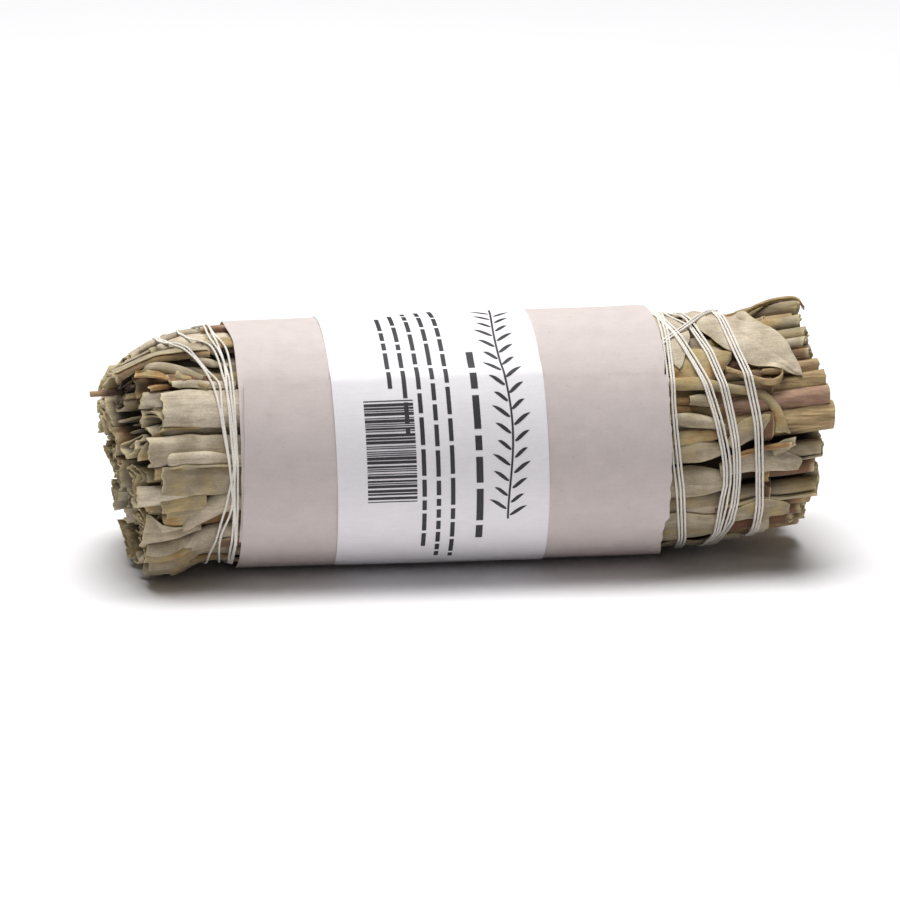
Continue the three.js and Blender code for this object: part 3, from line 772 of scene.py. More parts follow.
@dataclass(frozen=True)
class WoodFinish(Finish):
    """Dry woody stem, with lengthwise grain and a paler cut face."""

    bark: tuple = srgb(182, 158, 116)
    shade: tuple = srgb(132, 107, 76)
    blush: tuple = srgb(158, 122, 108)
    cut: tuple = srgb(196, 172, 128)

    def write(self, s: Shader) -> None:
        """Writes the nodes."""
        grain = s.noise(s.stretched((0.09, 1, 1)), 1500, 4)
        base = s.mix(s.ranged(grain, 0.3, 0.66), self.shade, self.bark)
        blushed = s.maths("MULTIPLY", s.ranged(s.attribute("tone"), 0.6, 1.0, 0.0, 1.0),
                          s.ranged(s.noise(s.stretched((0.25, 1, 1)), 260, 3), 0.38, 0.6, 0.15, 0.85))
        base = s.mix(blushed, base, self.blush)
        base = s.mix(s.maths("MULTIPLY", s.attribute("edge"), 0.8), base, self.cut)
        broken = s.group(mottled(), Colour=base, Patches=0.16, Grains=0.08, Fibres=0.16)
        bump = s.node("ShaderNodeBump", {"Strength": 0.7, "Distance": 0.00018,
                                         "Height": s.maths("ADD", grain, broken.outputs["Height"])})
        # Painted shade: the stem goes darker where it lies deep between the leaves.
        colour = s.group(painted_crevice_shade(), Colour=broken.outputs["Colour"]).outputs["Colour"]
        s.surface({"Base Color": colour, "Roughness": 0.8, "Specular IOR Level": 0.3, "Normal": bump.outputs[0]})


@dataclass(frozen=True)
class CottonFinish(Finish):
    """Matt white cotton thread."""

    colour: tuple = srgb(236, 231, 222)

    def write(self, s: Shader) -> None:
        """Writes the nodes."""
        broken = s.group(mottled(), Colour=self.colour, Patches=0.05, Grains=0.10, Fibres=0.0)
        bump = s.node("ShaderNodeBump", {"Strength": 0.4, "Distance": 0.00006,
                                         "Height": s.noise(s.position(), 9000, 2)})
        s.surface({"Base Color": broken.outputs["Colour"], "Roughness": 0.9, "Specular IOR Level": 0.2,
                   "Sheen Weight": 0.2, "Normal": bump.outputs[0]})


@dataclass(frozen=True)
class PaperFinish(Finish):
    """Matt paper with short fibres and specks."""

    colour: tuple
    fleck: tuple
    flecks: float
    cloud: float
    relief: float
    roughness: float = 0.86

    def write(self, s: Shader) -> None:
        """Writes the nodes."""
        place = s.position()
        bent = s.node("ShaderNodeTexNoise", {"Vector": place, "Scale": 500.0, "Detail": 1.0}).outputs["Color"]
        swirl = s.node("ShaderNodeVectorMath", {0: bent, "Scale": 0.0022}, operation="SCALE").outputs[0]
        moved = s.node("ShaderNodeVectorMath", {0: place, 1: swirl}, operation="ADD").outputs[0]
        mapping = s.node("ShaderNodeMapping", {"Vector": moved, "Scale": (0.3, 1, 1)}).outputs[0]
        fibre = s.ranged(s.noise(mapping, 2600, 2), 0.62, 0.72)
        speck = s.ranged(s.noise(place, 1400, 1), 0.68, 0.74)
        base = s.mix(s.maths("MULTIPLY", fibre, self.flecks), self.colour, self.fleck)
        base = s.mix(s.maths("MULTIPLY", speck, self.flecks * 1.3), base, self.fleck)
        broken = s.group(mottled(), Colour=base, Patches=self.cloud, Grains=0.025, Fibres=0.02)
        rough = s.noise(place, 2400, 4)
        bump = s.node("ShaderNodeBump", {"Strength": self.relief, "Distance": 0.00005, "Height": rough})
        s.surface({"Base Color": broken.outputs["Colour"], "Roughness": self.roughness,
                   "Specular IOR Level": 0.25, "Normal": bump.outputs[0]})


@dataclass(frozen=True)
class InkFinish(Finish):
    """Dark print, a little uneven."""

    colour: tuple = srgb(58, 57, 60)

    def write(self, s: Shader) -> None:
        """Writes the nodes."""
        broken = s.group(mottled(), Colour=self.colour, Patches=0.10, Grains=0.15, Fibres=0.0)
        s.surface({"Base Color": broken.outputs["Colour"], "Roughness": 0.65, "Specular IOR Level": 0.3})


@dataclass(frozen=True)
class FloorFinish(Finish):
    """Plain pale surface."""

    name: str = "pale_floor"
    colour: tuple = (0.90, 0.89, 0.90, 1.0)

    def write(self, s: Shader) -> None:
        """Writes the nodes."""
        soft = s.ranged(s.noise(s.position(), 6, 2), 0.3, 0.7, 0.99, 1.01)
        colour = s.node("ShaderNodeVectorMath", {0: self.colour[:3], "Scale": soft}, operation="SCALE").outputs[0]
        s.surface({"Base Color": colour, "Roughness": 0.9, "Specular IOR Level": 0.1})


# Leaf and stem shapes

class End(Enum):
    """How a leaf ends."""

    CUT = "cut"
    POINTED = "pointed"
    ROUND = "round"


class Packing(Enum):
    """How folded leaves fill a cut end."""

    PLEATS = "pleats"
    SCROLLS = "scrolls"
    NESTED = "nested"
    WAVES = "waves"


@dataclass
class Leaf:
    """A leaf that lies along the bundle, flat or folded round its long middle."""

    spine: Sequence[tuple[float, float]]
    half: Sequence[float]
    tone: float = 0.2
    lift: float = -0.3
    crown: float = 0.7
    wrap: float = 60.0
    box: float = 1.0
    end: End = End.CUT
    wrinkle: float = 0.22
    wave: float = 0.25
    rib: float = 0.0
    slant: float = 0.0
    thickness: float = 0.42
    drape: bool = True
    seed: int = 0
    spacing: float = 0.6

    def section(self, columns: int) -> tuple[Array, Array]:
        """Shape across the leaf.

        Args:
            columns: how many points it has.

        Returns:
            Places across from -1 to 1, and drops below its crest from 0 to 1.
        """
        turn = np.radians(np.linspace(-self.wrap, self.wrap, 161))
        size = float(np.mean(self.half))
        if self.wrap < 90:
            across = np.sin(turn) / math.sin(math.radians(self.wrap))
            drop = (1 - np.cos(turn)) / (1 - math.cos(math.radians(self.wrap)))
        else:
            across = np.sign(np.sin(turn)) * np.abs(np.sin(turn)) ** self.box
            drop = (1 - np.sign(np.cos(turn)) * np.abs(np.cos(turn)) ** self.box) / 2
        line = evenly(np.stack([across * size, drop * abs(self.crown)], axis=1), columns)
        return line[:, 0] / size, line[:, 1] / abs(self.crown)

    def grid(self, relief: Relief) -> tuple[Array, Array, Array]:
        """Middle surface of the leaf.

        Args:
            relief: the surface that a flat leaf drapes over.

        Returns:
            Points, thickness and nearness to an edge, over the leaf.
        """
        spine = np.array([[x, math.radians(a) * BAND_RADIUS_LEFT] for x, a in self.spine])
        length = travelled(spine)[-1]
        rows = max(8, int(length / (self.spacing * 1.15)))
        widest = 2 * max(self.half) * (1 if self.wrap < 90 else 1.6) + abs(self.crown)
        columns = max(7, int(widest / self.spacing))
        t = np.linspace(0, 1, rows + 1)
        middle = through(spine, t)
        along = np.gradient(middle, axis=0)
        along /= np.linalg.norm(along, axis=1, keepdims=True)
        half = through(self.half, t)
        closing = np.ones(rows + 1)
        if self.end is not End.CUT:
            share = 0.07 if self.end is End.POINTED else min(0.4, 1.2 * self.half[-1] / length)
            closing = np.sqrt(np.maximum(1 - (np.maximum(t - (1 - share), 0) / share) ** 2, 0.0025))
        across, drop = self.section(columns)
        lateral = half[:, None] * closing[:, None] * across[None, :]
        side = np.sign(across)[None, :]
        lateral *= 1 + 0.06 * noise(t[:, None] * length / 3.2, side * 3, seed=self.seed + 3)
        ragged = 0.35 * fractal(lateral / 1.1, seed=self.seed + 4) + self.slant * across[None, :]
        push = ragged * smoothstep((t[:, None] - 0.6) / 0.4) if self.end is End.CUT else 0 * lateral
        x = middle[:, :1] - along[:, 1:] * lateral + along[:, :1] * push
        run = middle[:, 1:] + along[:, :1] * lateral + along[:, 1:] * push
        angle = np.degrees(run / BAND_RADIUS_LEFT)
        depth = drop[None, :] * self.crown
        if self.wrap >= 90:
            depth = self.crown / 2 + (depth - self.crown / 2) * closing[:, None]
        radius = profile_radius(x) + self.lift - depth
        radius = radius + self.wrinkle * fractal(x / 8, run / 2.1, seed=self.seed)
        radius = radius + 0.05 * noise(x / 1.3, run / 1.0, seed=self.seed + 1)
        radius = radius + self.wave * np.abs(across) ** 3 * noise(x / 4.5, side * 5, seed=self.seed + 2)
        radius = radius + self.rib * np.exp(-((lateral / 0.4) ** 2))
        if self.drape and self.wrap < 90:
            under = relief.at(x, angle)
            for _ in range(10):
                smooth = (np.roll(under, 1, 0) + np.roll(under, -1, 0)) / 2
                smooth[[0, -1]] = under[[0, -1]]
                under = np.maximum(under, smooth)
            radius = np.maximum(radius, under + self.thickness / 2 + 0.05)
        radius = np.minimum(radius, profile_radius(x) + 1.1)
        points = around(x, angle, radius)
        rim = np.clip(1 - (1 - np.abs(across[None, :])) * half[:, None] / CUT_EDGE, 0, 1) * (self.wrap < 90)
        cut = np.clip(1 - (1 - t[:, None]) * length / CUT_EDGE, 0, 1) * (self.end is End.CUT)
        edge = np.maximum(rim * 0.6, cut)
        return points, self.thickness * (1 - 0.45 * rim), edge

    def draw(self, draft: Draft, relief: Relief) -> None:
        """Adds the leaf to a draft and to the relief.

        Args:
            draft: collects the mesh.
            relief: the surface under it, which it raises.
        """
        points, thickness, edge = self.grid(relief)
        tone = self.tone + 0.07 * fractal(points[..., 0] / 7, points[..., 1] / 4, points[..., 2] / 4, self.seed + 5)
        draft.sheet(points, thickness, np.clip(tone, 0, 1), edge)
        x, angle, radius = polar(points)
        relief.lay(around(x, angle, radius + thickness / 2))


@dataclass
class Loose(Leaf):
    """A leaf that keeps its own height over what lies under it."""

    drape: bool = False


@dataclass
class Scroll:
    """A leaf rolled up like a scroll, along the bundle."""

    spine: Sequence[tuple[float, float]]
    size: float
    depth: float = 2.2
    tone: float = 0.3
    turns: float = 1.5
    start: float = 0.0
    tight: float = 0.35
    thickness: float = 0.42
    seed: int = 0
    slant: float = 0.6
    spacing: float = 0.5

    def draw(self, draft: Draft, relief: Relief) -> None:
        """Adds the scroll to a draft and to the relief, as Leaf.draw does."""
        spine = np.array(self.spine, float)
        length = abs(spine[-1, 0] - spine[0, 0])
        rows = max(6, int(length / 1.2))
        columns = max(14, int(self.turns * 2 * math.pi * self.size * (1 + self.tight) / 2 / self.spacing))
        t, v = np.linspace(0, 1, rows + 1)[:, None], np.linspace(0, 1, columns + 1)[None, :]
        middle = through(spine, t[:, 0])
        size = self.size * (1 - (1 - self.tight) * v) * (1 + 0.08 * noise(t * length / 5, v * 4, seed=self.seed))
        turn = np.radians(self.start + 360 * self.turns * v + 12 * noise(t * length / 7, seed=self.seed + 1))
        x = middle[:, :1] + 0 * v
        cut = 0.35 * fractal(v * 9, seed=self.seed + 2) + self.slant * np.cos(turn)
        x = x + np.sign(spine[-1, 0] - spine[0, 0]) * cut * smoothstep((t - 0.5) / 0.5)
        centre = around(x, middle[:, 1:], profile_radius(x) - self.depth)
        points = centre + np.stack([0 * size, size * np.cos(turn), size * np.sin(turn)], -1)
        edge = np.broadcast_to(np.clip(1 - (1 - t) * length / CUT_EDGE, 0, 1), size.shape)
        tone = self.tone + 0.08 * fractal(points[..., 0] / 6, v * 5, seed=self.seed + 3)
        draft.sheet(points, self.thickness, np.clip(tone, 0, 1), edge)
        relief.lay(points)


@dataclass
class Stem:
    """A woody stem, faintly four-sided and grooved, with a cut face and its pith."""

    spine: Sequence[tuple[float, float, float]]
    size: float
    tone: float = 0.3
    finish: int = 1
    seed: int = 0
    sides: int = 20

    def draw(self, draft: Draft, relief: Relief) -> None:
        """Adds the stem to a draft and to the relief, as Leaf.draw does."""
        spine = np.array(self.spine, float)
        length = travelled(spine)[-1]
        rows = max(5, int(length / 1.3))
        t = np.linspace(0, 1, rows + 1)
        middle = through(spine, t)
        turn = np.linspace(0, 2 * math.pi, self.sides, endpoint=False)
        lean = 0.7 * self.seed
        girth = 1 + 0.05 * np.cos(4 * (turn + lean)) + 0.045 * noise(turn[None, :] * 2.6, t[:, None] * 1.5,
                                                                     seed=self.seed)
        girth = girth + 0.05 * noise(np.cos(turn)[None, :] * 3, np.sin(turn)[None, :] * 3, t[:, None] * length / 9,
                                     seed=self.seed + 1)
        ring = np.stack([0 * turn, np.cos(turn), np.sin(turn)], -1)
        centre = around(middle[:, 0], middle[:, 1], middle[:, 2])
        rings = centre[:, None, :] + ring[None] * (self.size * girth)[..., None]
        way = math.copysign(1.0, spine[-1, 0] - spine[0, 0])
        split = 0.22 * noise(turn * 2.4, 3.3, seed=self.seed + 2)
        face = []
        for share, push in ((0.95, 0.12), (0.78, 0.16), (0.5, 0.12), (0.3, 0.05), (0.2, -0.5)):
            disc = centre[-1] + ring * (self.size * girth[-1] * share)[:, None]
            disc[:, 0] += way * (push + split * min(1.0, share * 1.2))
            face.append(disc)
        rings[-1, :, 0] += way * split
        whole = np.concatenate([rings, np.array(face)])
        edge = np.concatenate([np.zeros(rows), [0.4], [1, 1, 1, 0.7, 0.2]])
        draft.tube(whole, self.tone, edge, self.finish)
        relief.lay(rings)


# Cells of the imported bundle

class Ring(Enum):
    """The rings of leafy stems, from the outside in."""

    OUTER = "outer"
    MIDDLE = "middle"
    INNER = "inner"


@dataclass(frozen=True)
class RingSize:
    """How many cells a ring has and where it lies."""

    count: int
    inner: float
    outer: Optional[float]
    offset: float


RING_SIZES = {
    Ring.OUTER: RingSize(13, 16.9, None, 8),
    Ring.MIDDLE: RingSize(7, 8.7, 16.9, 20),
    Ring.INNER: RingSize(3, 0.0, 8.7, 50),
}


@dataclass(frozen=True)
class Cell:
    """The space of one leafy stem across the bundle."""

    ring: Ring
    index: int
    start: float
    stop: float

    def outer(self, x: Array) -> Array:
        """Distance of its outer wall at x."""
        size = RING_SIZES[self.ring].outer
        return profile_radius(x) - OUTER_LEAF_LAYER if size is None else size + 0 * np.asarray(x, float)

    def middle(self) -> float:
        """Its middle angle."""
        return (self.start + self.stop) / 2

    def place(self, line: Array, x: Array, margin: float = 0.35) -> tuple[Array, Array]:
        """Angles and radii of places in the cell.

        Args:
            line: rows of (share across from -1 to 1, share of the depth from 0 to 1).
            x: places along the bundle that fit the rows.
            margin: free space along the cell's walls.

        Returns:
            The angles and the radii.
        """
        inner = RING_SIZES[self.ring].inner
        radius = inner + margin + line[..., 1] * (self.outer(x) - inner - 2 * margin)
        free = np.degrees(margin / np.maximum(radius, 1.5))
        return self.middle() + line[..., 0] * ((self.stop - self.start) / 2 - free), radius


def ring_cells(ring: Ring) -> list[Cell]:
    """The cells of one ring, in the order of the CAD nodes."""
    size = RING_SIZES[ring]
    pitch = 360 / size.count
    edges = [size.offset + pitch * (i + CELL_UNEVENNESS * math.sin(7.3 * i + size.count))
             for i in range(size.count)]
    return [Cell(ring, i, edge, (edges + [edges[0] + 360])[i + 1]) for i, edge in enumerate(edges)]


def pleats(rng: random.Random, folds: int, low: float, high: float, start: float, stop: float) -> Array:
    """A leaf folded to and fro.

    Args:
        rng: the random draws.
        folds: how many folds it has.
        low, high: share of the cell's depth that the folds reach.
        start, stop: share of the cell's width that they fill.

    Returns:
        Its line across the cell.
    """
    rows = []
    for i in range(folds + 1):
        share = start + (stop - start) * (i + rng.uniform(-0.25, 0.25)) / folds
        reach = rng.choice((1.0, 1.0, 0.75, 0.5)) * (high - low)
        depth = high - reach if i % 2 else low + reach
        rows += [[share - 0.02, depth], [share + 0.02, depth + rng.uniform(-0.04, 0.04)]]
    return through(rows, np.linspace(0, 1, 40 * folds))


def scroll_line(rng: random.Random, middle: tuple[float, float], size: tuple[float, float], turns: float) -> Array:
    """A leaf loosely rolled up.

    Args:
        rng: the random draws.
        middle: middle of the roll.
        size: its half width and half depth.
        turns: how often it goes round.

    Returns:
        Its line across the cell.
    """
    t = np.linspace(0, 1, 220)
    turn = math.tau * (rng.random() + turns * t * rng.choice((-1, 1)))
    dented = 1 + 0.28 * noise(2.2 * np.cos(turn), 2.2 * np.sin(turn), t * 1.5, seed=rng.randrange(999))
    shrink = (1 - 0.7 * t) * dented
    return np.stack([middle[0] + size[0] * shrink * np.cos(turn), middle[1] + size[1] * shrink * np.sin(turn)], 1)


def nested_lines(rng: random.Random, count: int) -> list[Array]:
    """Leaves folded one inside the other.

    Args:
        rng: the random draws.
        count: how many there are.

    Returns:
        Their lines across the cell.
    """
    lines = []
    lean = rng.uniform(-0.3, 0.3)
    for k in range(count):
        inset = k / count
        wide, top = 0.94 * (1 - inset), 0.96 - 0.62 * inset
        foot = rng.uniform(0.02, 0.3)
        rows = [[-wide * 0.94 + lean * inset, foot], [-wide + lean * inset, (foot + top) / 2],
                [-wide * 0.9, top - rng.uniform(0.02, 0.12)], [-wide * 0.45, top - rng.uniform(0, 0.08)],
                [wide * 0.1, top - rng.uniform(0, 0.1)], [wide * 0.5, top - rng.uniform(0, 0.08)],
                [wide * 0.92, top - 0.08], [wide + lean * inset, (foot + top) / 2],
                [wide * 0.93 + lean * inset, foot + 0.05]]
        start, stop = rng.choice(((0, 1), (0.2, 1), (0, 0.75), (0.3, 0.9)))
        lines.append(through(rows, np.linspace(start, stop, 160)))
    return lines


def wavy_lines(rng: random.Random, count: int, low: float = 0.05, high: float = 0.95) -> list[Array]:
    """Leaves stacked as wavy layers.

    Args:
        rng: the random draws.
        count: how many there are.
        low, high: share of the cell's depth that they fill.

    Returns:
        Their lines across the cell.
    """
    lines = []
    share = np.linspace(-0.95, 0.95, 120)
    phase, swing = rng.uniform(0, 6), rng.uniform(2.5, 7)
    for k in range(count):
        depth = low + (high - low) * k / max(count - 1, 1)
        wave = 0.55 * (high - low) / count * np.sin(swing * share + phase + 0.7 * k)
        start, stop = sorted((rng.uniform(0, 0.3), rng.uniform(0.7, 1)))
        keep = slice(int(start * 120), int(stop * 120))
        lines.append(np.stack([share, depth + wave], 1)[keep])
    return lines


def packed_lines(rng: random.Random, packing: Packing, small: bool) -> list[Array]:
    """The folded leaves that fill one cell.

    Args:
        rng: the random draws.
        packing: how they lie.
        small: whether the cell comes to a point.

    Returns:
        Their lines across the cell.
    """
    low = 0.35 if small else 0.06
    if packing is Packing.PLEATS:
        split = rng.uniform(-0.3, 0.3)
        return (wavy_lines(rng, 1, 0.93, 0.93) + [pleats(rng, 6, low, 0.86, -0.94, split - 0.05)]
                + [pleats(rng, 5, low, 0.86, split + 0.05, 0.94)])
    if packing is Packing.SCROLLS:
        side = rng.choice((-1, 1))
        roll = scroll_line(rng, (side * 0.5, rng.uniform(0.44, 0.6)), (0.4, 0.36), 1.5)
        fold = pleats(rng, 5, low + 0.05, 0.84, *sorted((-side * 0.94, -side * 0.02)))
        return wavy_lines(rng, 1, 0.95, 0.95) + [roll, fold] + wavy_lines(rng, 1, low, low)
    if packing is Packing.NESTED:
        return nested_lines(rng, 6)
    return wavy_lines(rng, 8, low)


RIBBON_WARP = 0.13
RIBBON_PLACE = 74.0
RIBBON_THICKNESS = 0.45
RIBBON_STEPS = np.array([0, 0.05, 0.12, 0.22, 0.36, 0.55, 0.77, 1.0])
RIBBON_EDGE = np.array([1, 0.7, 0.15, 0, 0, 0, 0, 0])


def ribbon(draft: Draft, relief: Relief, cell: Cell, line: Array, tips: Callable[[Array, Array], Array],
           root: float, tone: float, seed: int, pushed: Sequence[tuple[float, float, float]] = ()) -> None:
    """Adds a folded leaf that fills part of a cell up to a cut end.

    Args:
        draft: collects the mesh.
        relief: the surface, which it raises.
        cell: the cell.
        line: the leaf's line across the cell.
        tips: gives the place of the cut for radii and angles round the bundle.
        root: where it starts, deep inside.
        tone: its colour.
        seed: picks its unevenness.
        pushed: stems that it goes round, as (angle, distance from the middle, radius).
    """
    bent = [noise(line[:, 0] * 2.1, line[:, 1] * 2.1, seed=cell.index * 7 + k) for k in (1, 2)]
    line = np.clip(line + RIBBON_WARP * np.stack(bent, 1), [-1, 0.0], [1, 1.0])
    flat_x = np.full(len(line), LEFT_RIM_END if root < 0 else RIBBON_PLACE)
    run = travelled(around(flat_x, *cell.place(line, flat_x))[:, 1:])
    count = max(8, int(run[-1] / 0.4))
    at = np.linspace(0, run[-1], count)
    line = np.stack([np.interp(at, run, line[:, k]) for k in (0, 1)], 1)
    angle, radius = cell.place(line, flat_x[:1])
    tip = tips(radius, angle) + 0.6 * noise(at / 4, seed=seed) + 0.32 * fractal(at / 1.3, seed=seed + 1)
    steps = RIBBON_STEPS[:, None]
    x = tip[None, :] + (root - tip[None, :]) * steps
    angle, radius = cell.place(np.broadcast_to(line, (len(steps), count, 2)), x)
    points = around(x, angle, radius)
    normal = np.gradient(points[0, :, 1:], axis=0)
    normal = np.stack([-normal[:, 1], normal[:, 0]], 1)
    normal /= np.maximum(np.linalg.norm(normal, axis=1, keepdims=True), 1e-6)
    crumple = 0.34 * noise(at / 1.05, seed=seed + 6) + 0.22 * noise(at / 0.6, seed=seed + 7)
    fading = np.exp(-np.abs(x - tip[None, :]) / 4.5)
    patchy = 0.6 + 1.2 * noise(x / 4 + 7, at[None, :] / 6, seed=seed + 8) ** 2
    points[..., 1:] += normal[None] * (crumple[None, :] * fading * patchy)[..., None]
    drift = 0.32 * steps * abs(root - tip.mean()) / 9
    points[..., 1] += drift * noise(x / 3, at[None, :] / 3.5, seed=seed + 2)
    points[..., 2] += drift * noise(x / 3, at[None, :] / 3.5, seed=seed + 3)
    for turn, out, size in pushed:
        centre = around(x, np.full(x.shape, turn), np.full(x.shape, out))[..., 1:]
        away = points[..., 1:] - centre
        distance = np.maximum(np.linalg.norm(away, axis=-1, keepdims=True), 1e-6)
        points[..., 1:] = centre + away * np.maximum(1, (size + RIBBON_THICKNESS) / distance)
    edge = np.broadcast_to(RIBBON_EDGE[:, None], x.shape)
    shade = tone + 0.13 * noise(x / 4, at[None, :] / 2.5, seed=seed + 4)
    draft.sheet(points, RIBBON_THICKNESS, np.clip(shade, 0, 1), edge)
    relief.lay(points)


# Leafy stems

LEAF_SLOTS = ("pale_leaf", "grey_leaf", "green_leaf", "brown_leaf")


class Rod(Enum):
    """What stands out of the right end."""

    STEM = "stem"
    ROLL = "roll"


STEM, ROLL = Rod
OUTER_RODS = (
    ((-0.5, 0.66, 2.9, STEM), (0.5, 0.7, 2.3, ROLL), (0.05, 0.22, 1.7, STEM)),
    ((-0.48, 0.7, 2.3, ROLL), (0.46, 0.68, 2.4, STEM), (-0.1, 0.22, 1.5, STEM)),
    ((-0.46, 0.7, 2.1, STEM), (0.5, 0.69, 2.3, ROLL), (0.0, 0.22, 1.6, STEM)),
)
MIDDLE_RODS = (
    ((-0.52, 0.3, 1.7, STEM), (-0.46, 0.75, 1.9, STEM), (0.5, 0.7, 2.2, ROLL),
     (0.4, 0.24, 1.5, STEM)),
    ((-0.5, 0.68, 2.3, STEM), (-0.4, 0.22, 1.5, STEM), (0.3, 0.6, 2.0, ROLL)),
)
INNER_RODS = ((-0.5, 0.72, 1.8, STEM), (0.45, 0.7, 2.0, STEM), (0.0, 0.4, 1.4, STEM))


@dataclass(frozen=True)
class FrontRod:
    """A stem or rolled leaf at the right end that shows in front."""

    angle: float
    depth: float
    size: float
    kind: Rod
    reach: float
    tone: float
    start: float = 58.0


FRONT_RODS = {index: tuple(FrontRod(*row) for row in rows) for index, rows in {
    0: ((15.5, 3.1, 3, STEM, 83.2, 0.3), (27, 2.6, 2.4, STEM, 82.2, 0.95),
        (36, 2.8, 2.2, STEM, 81.7, 0.45), (20, 7.6, 1.8, STEM, 79, 0.9)),
    1: ((44, 3, 2, STEM, 80.6, 0.75), (52.5, 3.4, 2.3, ROLL, 79.4, 0.8),
        (61.5, 3.3, 1.7, ROLL, 79, 0.25), (50, 8.4, 1.8, STEM, 78, 0.6)),
    2: ((69, 3.4, 1.8, ROLL, 79.6, 0.5), (79, 2.6, 2.3, ROLL, 78.6, 0.46, 66),
        (86, 3.2, 2, STEM, 77.4, 0.4)),
    3: ((97, 2, 2.8, ROLL, 79.6, 0.5, 66), (109, 3, 2.2, STEM, 80, 0.3),
        (103, 8.2, 1.8, STEM, 78, 0.6)),
    10: ((-55, 3.2, 2.4, ROLL, 76.6, 0.98), (-68, 3.4, 2.2, STEM, 78.5, 0.5),
         (-60, 8.2, 2.2, STEM, 78, 0.3)),
    11: ((-24.5, 2.3, 2.5, ROLL, 80.2, 0.46, 60), (-35, 3.6, 2.1, ROLL, 78.8, 0.82),
         (-44, 3.2, 2, ROLL, 77.8, 0.95), (-32, 8.4, 2.2, STEM, 79, 0.3)),
    12: ((-1.5, 2.6, 2.2, ROLL, 80.8, 0.4, 66), (-13, 4.2, 2.2, ROLL, 79.6, 0.85, 68),
         (-6, 8.6, 2.2, STEM, 79.5, 0.9)),
}.items()}


